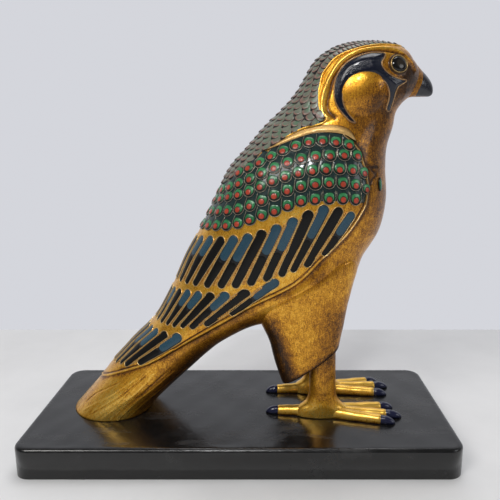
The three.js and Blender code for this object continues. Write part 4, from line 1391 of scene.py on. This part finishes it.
def wing_rims():
    """Thin pale lines along the wing's front edge"""
    line_sides("wing_rims", PALE_GOLD,
               lambda side: [offset_path(on_side(wing_edge_path(77.5, 46, 70), side), -0.75 * side)],
               0.18, round_profile(0.34, 0.3, 4))


BREAST_DROP = (147, 64.6)


def breast_drops():
    """A small painted drop on each side of the breast, near the wing's front edge"""
    rim = domed(oval(1.35, 2.75, 20), [(1.0, -0.4, 1), (1.0, 0.10, 1), (0.8, 0.13, 1)])
    paint = domed(oval(1.0, 2.3, 20), [(1.0, -0.2, 1), (1.0, 0.16, 0.6), (0.8, 0.27, 0.2)])
    stamp_sides("breast_drop_edges", BLACK_PAINT_AND_SHADOW, rim, BREAST_DROP)
    stamp_sides("breast_drops", LEAF_GREEN, paint, BREAST_DROP)


# Shoulder band

BAND = [
    (43, 73.1), (54, 76.1), (63, 77.9), (74, 78.9), (84, 79.2), (94, 78.7), (103, 77.5), (111, 75.4),
    (108, 75.7), (98, 76.9), (86, 77.4), (74, 77.2), (64, 76.1), (54, 74.6),
]
BAND_UPPER = BAND[:8]
BAND_LOWER = [BAND[0]] + BAND[:7:-1] + [BAND[7]]


def shoulder_bands():
    outline = np.vstack([spline(BAND_UPPER, 6)[:-1], spline(BAND_LOWER, 6)[::-1][:-1]])
    plaque_sides("shoulder_bands", TAN_GOLD, outline, (0.45, UNIT), 0.8,
                 lambda away, p, q: 0.35 + 0.3 * smooth(away, 0, 0.7), 0.8)
    line_sides("shoulder_lines", BROWN_LINE,
               lambda side: [on_side(spline(edge, 6), side) for edge in (BAND_UPPER, BAND_LOWER)],
               0.24, round_profile(0.36, 0.5, 4), tint=0.95)


# Head

def head_markings():
    outline = spline(MARKING, 5, True)
    plaque_sides("head_markings", NAVY, outline, (0.30, UNIT), 0.45,
                 lambda away, p, q: 0.45 + 0.75 * smooth(away, 0, 2.6), 0.9)
    line_sides("marking_rims", BROWN_GOLD, lambda side: [on_side(outline, side)],
               0.36, round_profile(0.66, 0.5), True, 0.2)


def eye_outline(grow, count=40):
    return oval(EYE_SIZE[0] + grow, EYE_SIZE[1] + grow, count)


def eye_ring(grow):
    """What gives a side's outline round its eye, in the skin's coordinates"""
    flat = eye_outline(grow)

    def ring(side):
        spot = spot_on(side, EYE)
        along_p, along_q = metric(BODY, *spot)
        down = unit(-along_q)
        move = np.cross(down, BODY.normal(*spot)) * flat[:, :1] + down * flat[:, 1:]
        step_p, step_q = chart_step(along_p, along_q, move)
        return [np.column_stack([spot[0] + step_p, spot[1] + step_q])]

    return ring


def eyes():
    rings = [(1.0, -0.9, 0), (1.0, 0.4, 0), (0.9, 0.7, 0), (0.7, 0.95, 0.2), (0.4, 1.1, 0.8)]
    stamp_sides("eyes", EYE_BLACK, domed(eye_outline(-0.05), rings), EYE)
    line_sides("eye_rims", PALE_GOLD, eye_ring(0.18), 0.26, round_profile(0.85, 0.6), True, 0.3)
    line_sides("eye_grooves", BROWN_LINE, eye_ring(0.75), 0.42, round_profile(0.24, 0.4, 4), True, 0.7)


CERE_LEVELS = (95.4, 86.7)
TIP_LEVELS = (93.15, 86.72)
# Level and place of the line where the beak's dark tip begins
BEAK_LINE = [[86.3, 44.6], [86.7, 44.8], [88.7, 45.7], [90.6, 46.1], [92.5, 46.4], [93.4, 46.6]]


def closed_loft(piece, form, levels, columns, tint, wave=None):
    """A form's skin between levels, closed at both ends; tint gives its wash and wave its
    swelling at each point"""
    angles = np.linspace(-180, 180, columns, endpoint=False)
    p, q = np.meshgrid(angles, levels)
    points = form.at(p, q)
    if wave is not None:
        points = points + form.normal(p, q) * wave(p, q)[..., None]
    points = points.reshape(-1, 3)
    ends = np.array([points[:columns].mean(0), points[-columns:].mean(0)])
    shade = tint(p, q).ravel()
    shade = np.concatenate([shade, [shade[0], shade[-1]]])
    piece.add(np.vstack([points, ends]), capped_faces(len(levels), columns), shade)


def beak():
    cere = Piece()
    closed_loft(cere, BEAK, np.linspace(*CERE_LEVELS, 40), 60, lambda p, q: np.full(p.shape, 0.6),
                lambda p, q: blend_rise(BODY, BEAK.at(p, q), BEAK_BLEND))
    cere.make("beak_cere", GILDING)
    levels = np.linspace(*TIP_LEVELS, 34)
    line = look_up(BEAK_LINE, levels)
    fine = np.linspace(0, 180, 721)
    start = []
    for level, place in zip(levels, line):
        reach = BEAK.at(fine, np.full(len(fine), level))[:, 0] / UNIT
        start.append(np.interp(place, reach, fine))
    start = np.minimum(np.array(start), 176)[:, None]
    share = np.linspace(0, 2, 41)[None, :]
    angle = np.where(share <= 1, start + (180 - start) * share, 0)
    angle = np.where(share > 1, -(180 - (180 - start) * (share - 1)), angle)
    tip = Piece()
    blanket(tip, BEAK, angle, levels[:, None] + 0 * angle, 0.16, 0.5)
    tip.make("beak_tip", BEAK_BLACK)


# Legs and feet

# Start and end of each toe, ahead and outwards, and the length of its claw
TOES = [
    [24, 7.9, 38.6, 11.8, 4.1], [25, 7.2, 40.6, 8.8, 4.5],
    [24, 6.4, 39.8, 4.4, 4.0], [20, 7.0, 10.1, 6.4, 3.7],
]
# Share of the length, half width and height
TOE_SHAPE = [[0, 1.8, 3.1], [0.35, 1.6, 2.5], [0.75, 1.5, 2.25], [1, 1.4, 2.15]]
CLAW_SHAPE = [
    [0, 1.2, 1.95], [0.3, 1.28, 2.0], [0.6, 1.15, 1.7], [0.82, 0.86, 1.2], [0.94, 0.56, 0.75],
    [1, 0.22, 0.3],
]
CLAW_ROOT = 0.5
# Creases along a toe, and the share of its length where it rounds off
CREASES = 3.2
TOE_END = 0.93
# The toes cover the sides of the shank's foot
ANKLE_HALF = 3.1
THIGH_TOP = 50.0
THIGH_ROWS = 90
THIGH_COLUMNS = 72
# Moves inwards and down that round the thigh's lower rim
THIGH_LIP = [(0.35, 0.35), (1.1, 0.5), (2.4, 0.3)]


def slant(x):
    """Level of the thigh's slanting lower end"""
    (x0, z0), (x1, z1) = THIGH_END
    return z0 + (x - x0) * ((z1 - z0) / (x1 - x0))


def thigh_skin(form):
    """Rows of points down a thigh to its slanting end, swollen where it meets the body"""
    angles = np.linspace(-180, 180, THIGH_COLUMNS, endpoint=False)
    end = np.full(THIGH_COLUMNS, 15.0)
    for _ in range(30):
        x = form.at(angles, end)[:, 0] / UNIT
        end = mix(end, np.clip(slant(x), 9.9, 21), 0.5)
    share = np.linspace(0, 1, THIGH_ROWS)[:, None]
    levels = mix(THIGH_TOP, end[None, :], share)
    around = np.broadcast_to(angles, levels.shape)
    points = form.at(around, levels)
    wing_front = BODY.at(look_up(WING_EDGE, levels), levels)[..., 0]
    clear = np.maximum(smooth(points[..., 0] - wing_front, 0, 15),
                       smooth(LEG_OUT * UNIT - np.abs(points[..., 1]), 0, 2))
    rise = blend_rise(BODY, points, THIGH_BLEND) * clear * (1 - smooth(levels, 43, 50))
    points = points + form.normal(around, levels) * rise[..., None]
    lip = []
    hub = points[-1].mean(0)
    for step, sink in THIGH_LIP:
        ring = points[-1] + unit(hub - points[-1]) * step
        ring[:, 2] -= sink
        lip.append(ring)
    return np.concatenate([points, np.array(lip)])


def thigh_wash_and_shade(points, side):
    """Painted shade in brown along the thigh's lower end, behind, in front and under the wing's edge,
    blending into the body's wash and painted shade where the thigh joins it
    """
    x, y, z = points.T / UNIT
    low = np.clip(1 - (z - slant(x)) / 1.6, 0, 1) ** 2
    back = np.clip(1 - (x - mix(7.0, 12.5, smooth(-z, -32, -14))) / 3.6, 0, 1)
    front = smooth(x, 15, 26) * smooth(-z, -42, -28)
    brown = 0.33 + 0.7 * low + 0.7 * back + 0.28 * front
    joined = 1 - smooth(gap_to(BODY, points), 0, 5)
    edge = BODY.at(look_up(WING_EDGE, z), z)[:, 0]
    shade = np.exp(-((points[:, 0] - edge - 2.5) / 4) ** 2) * smooth(z, 28, 36) * (y * side > 0)
    return mix(brown, wash_and_shade_at(points), joined) + 0.6 * shade


def thighs():
    piece = Piece()
    for side, form in zip(SIDES, THIGHS):
        rows = thigh_skin(form)
        points = rows.reshape(-1, 3)
        ends = np.array([rows[0].mean(0), rows[-1].mean(0)])
        # The hub under each thigh's lower end is painted dark, as shade
        brown = np.clip(np.concatenate([thigh_wash_and_shade(points, side), [0.2, 0.9]]), 0, 1)
        piece.add(np.vstack([points, ends]), capped_faces(len(rows), THIGH_COLUMNS), brown)
    piece.make("thighs", GILDING)


def shanks():
    piece = Piece()
    slim = [row[:3] + [min(row[3], ANKLE_HALF)] + row[4:] for row in SHANK_SECTIONS]
    for side in SIDES:
        form = Form(slim, side * LEG_OUT)
        closed_loft(piece, form, np.linspace(23.9, 0.02, 60), 40,
                    lambda p, q: 0.08 + 0.32 * smooth(q, 2.5, 7) + 0.3 * smooth(q, 12, 20))
    piece.make("shanks", GILDING)


def half_tube(piece, centres, across, halves, heights, tint):
    """A body that lies flat on the plinth: half an oval in section"""
    count = 15
    turn = math.pi * np.arange(count) / (count - 1)
    up = np.sin(turn) ** 0.75
    points = centres[:, None, :] + across * (halves[:, None] * np.cos(turn))[..., None]
    points[..., 2] += heights[:, None] * up
    faces = bar_faces(len(centres), count)
    flat = points.reshape(-1, 3)
    volume = 0
    for face in faces:
        a = flat[face[0]]
        for b, c in zip(face[1:-1], face[2:]):
            volume += a @ np.cross(flat[b], flat[c])
    if volume < 0:
        faces = [face[::-1] for face in faces]
    # Painted shade: darker within 1.2 mm of the plinth, where the toes and claws meet it
    low = np.clip(1 - points[..., 2].ravel() / 1.2, 0, 1)
    piece.add(points, faces, np.clip(np.repeat(tint, count) + 0.6 * low, 0, 1))


def toe_profile():
    """Share of the length, half width, height and wash at points down a toe"""
    share = np.linspace(0, 1, 40)
    shape = spline(TOE_SHAPE, 20)
    knuckles = 0.5 + 0.5 * np.cos(2 * math.pi * CREASES * (share - 0.1))
    half = np.interp(share, shape[:, 0], shape[:, 1]) * UNIT * (0.98 + 0.03 * knuckles)
    tall = np.interp(share, shape[:, 0], shape[:, 2]) * UNIT * (0.97 + 0.04 * knuckles)
    end = np.sqrt(np.clip(1 - ((share - TOE_END) / 0.075) ** 2, 0.0, 1))
    half *= np.where(share > TOE_END, 0.55 + 0.45 * end, 1)
    tall *= np.where(share > TOE_END, 0.6 + 0.4 * end, 1)
    return share, half, tall, 0.05 + 0.12 * (1 - knuckles)


def feet():
    toes, claws = Piece(), Piece()
    share, half, tall, wash = toe_profile()
    nail = spline(CLAW_SHAPE, 6)
    for side in SIDES:
        for x0, out0, x1, out1, claw in TOES:
            start = np.array([x0, side * out0, 0]) * UNIT
            run = np.array([x1 - x0, side * (out1 - out0), 0]) * UNIT
            length = np.linalg.norm(run)
            ahead = run / length
            across = np.array([-ahead[1], ahead[0], 0])
            centres = start + ahead * (length * share)[:, None]
            half_tube(toes, centres, across, half, tall, wash)
            root = length - CLAW_ROOT * UNIT
            centres = start + ahead * (root + claw * UNIT * nail[:, :1])
            half_tube(claws, centres, across, nail[:, 1] * UNIT, nail[:, 2] * UNIT,
                      np.zeros(len(nail)))
    toes.make("toes", FOOT_GOLD)
    claws.make("claws", CLAW_NAVY)


# Plinth

PLINTH_CORNER = 6.5
PLINTH_ROUND = 1.8
PLINTH_FOOT = 0.05
# Insets of the rings of points round its upper edge
EDGE_RINGS = (0.12, 0.35, 0.7, 1.2, 1.8)


def slab_outline(length, width, inset, step=1.2):
    """Rounded rectangle, drawn in by inset"""
    corner = PLINTH_CORNER - inset
    x = length / 2 - PLINTH_CORNER
    y = width / 2 - PLINTH_CORNER
    outline = []
    arc = max(int(corner * math.pi / 2 / step), 6)
    for across, along, start in ((1, -1, -90), (1, 1, 0), (-1, 1, 90), (-1, -1, 180)):
        for i in range(arc + 1):
            turn = math.radians(start + 90 * i / arc)
            outline.append((across * x + corner * math.cos(turn), along * y + corner * math.sin(turn)))
    outline = np.array(outline)
    filled = []
    for a, b in zip(outline, np.roll(outline, -1, 0)):
        count = max(int(np.linalg.norm(b - a) / step), 1)
        filled += [mix(a, b, i / count) for i in range(count)]
    return np.array(filled)


def slab_waves(x, y):
    """The hand-poured lacquer isn't quite flat"""
    return (0.11 * np.sin(x / 9 + 0.4 * np.sin(y / 7)) * np.sin(y / 8 + 1)
            + 0.06 * np.sin(x / 3.7 + y / 5.1) + 0.035 * np.sin(x / 2.1 - y / 3.3 + 2))


def plinth():
    low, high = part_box("plinth")
    length, width, height = (high - low) / MM
    outline = slab_outline(length, width, 0)

    def lift(away, x, y):
        share = np.clip(away / PLINTH_ROUND, 0, 1)
        drop = PLINTH_ROUND * (1 - np.sqrt(1 - (1 - share) ** 2))
        return -drop + (slab_waves(x, y) - 0.12) * smooth(away, 0.5, 4)

    def near_edge(away, x, y):
        return np.exp(-((away - 1.5) / 0.9) ** 2)

    rings = [slab_outline(length, width, inset) for inset in EDGE_RINGS]
    piece = Piece()
    plaque(piece, Slab(height), outline, (1, 1), 1.6, lift, sink=height - PLINTH_FOOT, tint=near_edge,
           extra=rings)
    slab = piece.make("lacquered_plinth", LACQUER, standing=False)
    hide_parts("plinth")


# Finishes of this bird

def black_lacquer(name):
    """Poured black lacquer with dust specks, faint grey streaks and pale specks along its edges"""
    finish = Finish(name, "black_lacquer")
    streaks = finish.noise(20, 5, 0.6, (0.8, 2.6, 1)).between(0.50, 0.72)
    cloud = finish.noise(6, 5, 0.6)
    pores = finish.noise(0.8, 3)
    specks = 1 - finish.grains(2.6).between(0.03, 0.07)
    edge_specks = (1 - finish.grains(1.1).between(0.10, 0.20)) * finish.tint
    edge_specks = edge_specks * finish.noise(7, 3).between(0.50, 0.60)
    grey = streaks * 0.35 + (cloud - 0.5) * 0.5 + specks * 0.4 + edge_specks
    return finish.surface(
        base_color=finish.ramp(grey.clamped(), [
            (0.0, (0.006, 0.006, 0.006)), (0.5, (0.030, 0.030, 0.030)), (1.0, (0.28, 0.28, 0.27))]),
        roughness=0.22 + streaks * 0.14 + (cloud - 0.5) * 0.2 + (pores - 0.5) * 0.12,
        normal=finish.bump(cloud * 1.4 + pores * 0.25 + specks * 0.6, 0.09),
        coat_weight=0.1,
    )


def scale_paint(name):
    """Grey-olive paint with green patches, brownish towards each scale's lower end, and near black at
    its flange, which is painted shadow
    """
    finish = Finish(name, "enamel")
    clouds = finish.noise(1.7, 4, 0.6)
    pores = finish.noise(0.4, 2)
    dark = (finish.tint + 0.08 + (clouds - 0.5) * 0.4).clamped()
    grey = finish.ramp(dark, [
        (0.0, (0.175, 0.19, 0.14)), (0.28, (0.115, 0.125, 0.09)), (0.5, (0.24, 0.115, 0.085)),
        (0.62, (0.10, 0.05, 0.04)), (0.8, (0.012, 0.008, 0.007)), (1.0, (0.002, 0.002, 0.002))])
    patches = finish.noise(2.9, 2).between(0.53, 0.66) * (1 - finish.tint * 1.6).clamped()
    return finish.surface(
        base_color=finish.blend(patches * 0.75, grey, (0.075, 0.17, 0.095)),
        roughness=0.30 + (pores - 0.5) * 0.16 + dark * 0.2,
        normal=finish.bump(clouds + pores * 0.4, 0.07),
        coat_weight=0.15,
        coat_roughness=0.12,
    )


GILDING = gilding("gilding")
FOOT_GOLD = gilding("foot_gold", wear=-0.16, depth=0.08, gloss=0.34)
ROPE_GOLD = gilding("rope_gold", wear=-0.05, stops=[
    (0.0, (0.82, 0.47, 0.10)), (0.3, (0.58, 0.27, 0.045)), (0.6, (0.26, 0.085, 0.018)),
    (1.0, (0.05, 0.020, 0.009))])
TAN_GOLD = gilding("tan_gold", wear=0.05, depth=0.03, gloss=0.46, stops=[
    (0.0, (0.66, 0.42, 0.15)), (0.4, (0.45, 0.27, 0.095)), (1.0, (0.12, 0.06, 0.02))])
PALE_GOLD = gilding("pale_gold", wear=0.05, depth=0.05, stops=[
    (0.0, (0.66, 0.47, 0.20)), (0.5, (0.37, 0.24, 0.09)), (1.0, (0.12, 0.07, 0.03))])
DIM_WIRE = gilding("dim_wire", wear=0.15, depth=0.03, stops=[
    (0.0, (0.42, 0.38, 0.28)), (0.5, (0.18, 0.16, 0.12)), (1.0, (0.05, 0.045, 0.035))])
BROWN_GOLD = gilding("brown_gold", wear=0.25, stops=[
    (0.0, (0.62, 0.40, 0.17)), (0.5, (0.34, 0.19, 0.08)), (1.0, (0.10, 0.05, 0.025))])
BROWN_LINE = gilding("brown_line", wear=0.1, stops=[
    (0.0, (0.20, 0.10, 0.04)), (1.0, (0.035, 0.016, 0.008))])
CAPE_GREEN = scale_paint("cape_green")
TEAL_BLACK = enamel("teal_black", shine=0.10, size=0.9, waves=0.08, coat=0.4, mirror=0.2, stops=[
    (0.0, (0.022, 0.042, 0.040)), (0.35, (0.008, 0.016, 0.016)), (0.6, (0.004, 0.006, 0.006)),
    (1.0, (0.002, 0.002, 0.002))])
# Black paint of the rings, edges and outlines, and the black under the cape's scales that is painted
# shadow
BLACK_PAINT_AND_SHADOW = enamel("black_paint_and_shadow", shine=0.3, coat=0.1, stops=[
    (0.0, (0.004, 0.004, 0.005)), (1.0, (0.001, 0.001, 0.001))])
LEAF_GREEN = enamel("leaf_green", shine=0.2, size=0.9, waves=0.06, coat=0.3, stops=[
    (0.0, (0.050, 0.26, 0.095)), (0.3, (0.020, 0.145, 0.050)), (0.7, (0.010, 0.065, 0.026)),
    (1.0, (0.004, 0.02, 0.012))])
DARK_OLIVE = enamel("dark_olive", shine=0.3, stops=[
    (0.0, (0.018, 0.030, 0.010)), (0.6, (0.010, 0.012, 0.005)), (1.0, (0.003, 0.003, 0.002))])
BRICK_RED = enamel("brick_red", shine=0.24, size=0.8, waves=0.06, coat=0.25, stops=[
    (0.0, (0.46, 0.062, 0.030)), (0.35, (0.30, 0.040, 0.020)), (0.7, (0.15, 0.022, 0.012)),
    (1.0, (0.05, 0.008, 0.005))])
SLATE_BLUE = enamel("slate_blue", shine=0.26, size=1.6, waves=0.06, coat=0.2, mirror=0.22, stops=[
    (0.0, (0.030, 0.078, 0.112)), (0.5, (0.018, 0.050, 0.078)), (1.0, (0.009, 0.025, 0.040))])
CHARCOAL = enamel("charcoal", shine=0.28, size=1.6, waves=0.06, coat=0.1, mirror=0.12, stops=[
    (0.0, (0.009, 0.0085, 0.008)), (0.6, (0.005, 0.005, 0.0045)), (1.0, (0.003, 0.003, 0.003))])
NAVY = enamel("navy", shine=0.05, size=0.7, waves=0.14, coat=0.45, mirror=0.3, stops=[
    (0.0, (0.005, 0.007, 0.017)), (0.5, (0.0025, 0.0035, 0.009)), (1.0, (0.002, 0.003, 0.006))])
BEAK_BLACK = enamel("beak_black", shine=0.18, size=0.9, waves=0.08, coat=0.2, mirror=0.6, stops=[
    (0.0, (0.012, 0.013, 0.019)), (0.5, (0.007, 0.008, 0.012)), (1.0, (0.003, 0.004, 0.007))])
CLAW_NAVY = enamel("claw_navy", shine=0.16, size=1.1, waves=0.10, stops=[
    (0.0, (0.011, 0.013, 0.045)), (0.5, (0.006, 0.007, 0.022)), (1.0, (0.003, 0.004, 0.010))])
EYE_BLACK = enamel("eye_black", shine=0.12, waves=0.01, coat=0.3, stops=[
    (0.0, (0.003, 0.003, 0.003)), (0.5, (0.004, 0.003, 0.003)), (1.0, (0.024, 0.019, 0.013))])
LACQUER = black_lacquer("black_lacquer")


# Studio, in metres and watts

TABLE_SIDE = 1.6
TABLE_BACK = 0.133
# Dim behind the camera, pale ahead of it
ROOM_STOPS = [(0.0, (0.13, 0.13, 0.135)), (0.45, (0.66, 0.67, 0.715))]
AIM = (0, 0, 0.08)
# Name, place, aim, size, power and colour
LIGHTS = [
    ("key", (-0.40, -0.50, 0.62), AIM, 0.34, 2.5, (1.0, 0.98, 0.95)),
    ("side", (0.65, -0.35, 0.35), AIM, 0.30, 0.6, (0.95, 0.97, 1.0)),
    ("top", (0.05, 0.15, 0.80), AIM, 0.40, 1.6, (1, 1, 1)),
    ("lamp", (-0.05, -0.47, 0.54), (0.03, 0, 0.12), 0.09, 1.15, (1, 1, 1)),
]
CAMERA_PLACE = (0.01076, -0.23234, 0.13557)
CAMERA_DOWN = 12.046
CAMERA_LENS = 39.24
CAMERA_SENSOR = 36
CAMERA_SHIFT = -0.031


def table():
    mesh = bpy.data.meshes.new("pale_table")
    corners = [(-TABLE_SIDE, -TABLE_SIDE, 0), (TABLE_SIDE, -TABLE_SIDE, 0),
               (TABLE_SIDE, TABLE_BACK, 0), (-TABLE_SIDE, TABLE_BACK, 0)]
    mesh.from_pydata(corners, [], [[0, 1, 2, 3]])
    finish = Finish("pale_table")
    clouds = finish.noise(40, 4)
    finish.surface(
        base_color=finish.ramp(clouds, [(0.3, (0.75, 0.75, 0.75)), (0.7, (0.81, 0.81, 0.81))]),
        roughness=0.5 + clouds * 0.1,
    )
    mesh.materials.append(finish.material)
    floor = bpy.data.objects.new("pale_table", mesh)
    bpy.context.scene.collection.objects.link(floor)


def room():
    world = bpy.data.worlds.new("pale_room")
    bpy.context.scene.world = world
    world.use_nodes = True
    nodes = world.node_tree.nodes
    links = world.node_tree.links
    place = nodes.new("ShaderNodeTexCoord")
    split = nodes.new("ShaderNodeSeparateXYZ")
    ramp = nodes.new("ShaderNodeValToRGB")
    links.new(place.outputs["Generated"], split.inputs[0])
    links.new(split.outputs["Y"], ramp.inputs[0])
    links.new(ramp.outputs[0], nodes["Background"].inputs["Color"])
    for element, (at, colour) in zip(ramp.color_ramp.elements, ROOM_STOPS):
        element.position = at
        element.color = (*colour, 1)
    bpy.context.scene.view_settings.view_transform = "Standard"


def lights():
    for name, place, aim, size, power, colour in LIGHTS:
        data = bpy.data.lights.new(name, "AREA")
        data.shape = "DISK"
        data.size = size
        data.energy = power
        data.color = colour
        light = bpy.data.objects.new(name, data)
        light.location = place
        light.rotation_euler = (Vector(aim) - Vector(place)).to_track_quat("-Z", "Y").to_euler()
        bpy.context.scene.collection.objects.link(light)


def camera():
    data = bpy.data.cameras.new("camera")
    data.lens = CAMERA_LENS
    data.sensor_width = CAMERA_SENSOR
    data.shift_x = CAMERA_SHIFT
    view = bpy.data.objects.new("camera", data)
    view.location = CAMERA_PLACE
    view.rotation_euler = (math.radians(90 - CAMERA_DOWN), 0, 0)
    bpy.context.scene.collection.objects.link(view)
    bpy.context.scene.camera = view


gilded_body()
cape_ground()
cape_scales()
cape_rim()
corner_scales()
covert_ground()
coverts()
feather_cells()
feather_ridges()
wing_rims()
shoulder_bands()
breast_drops()
head_markings()
eyes()
beak()
thighs()
shanks()
feet()
plinth()
table()
room()
lights()
camera()
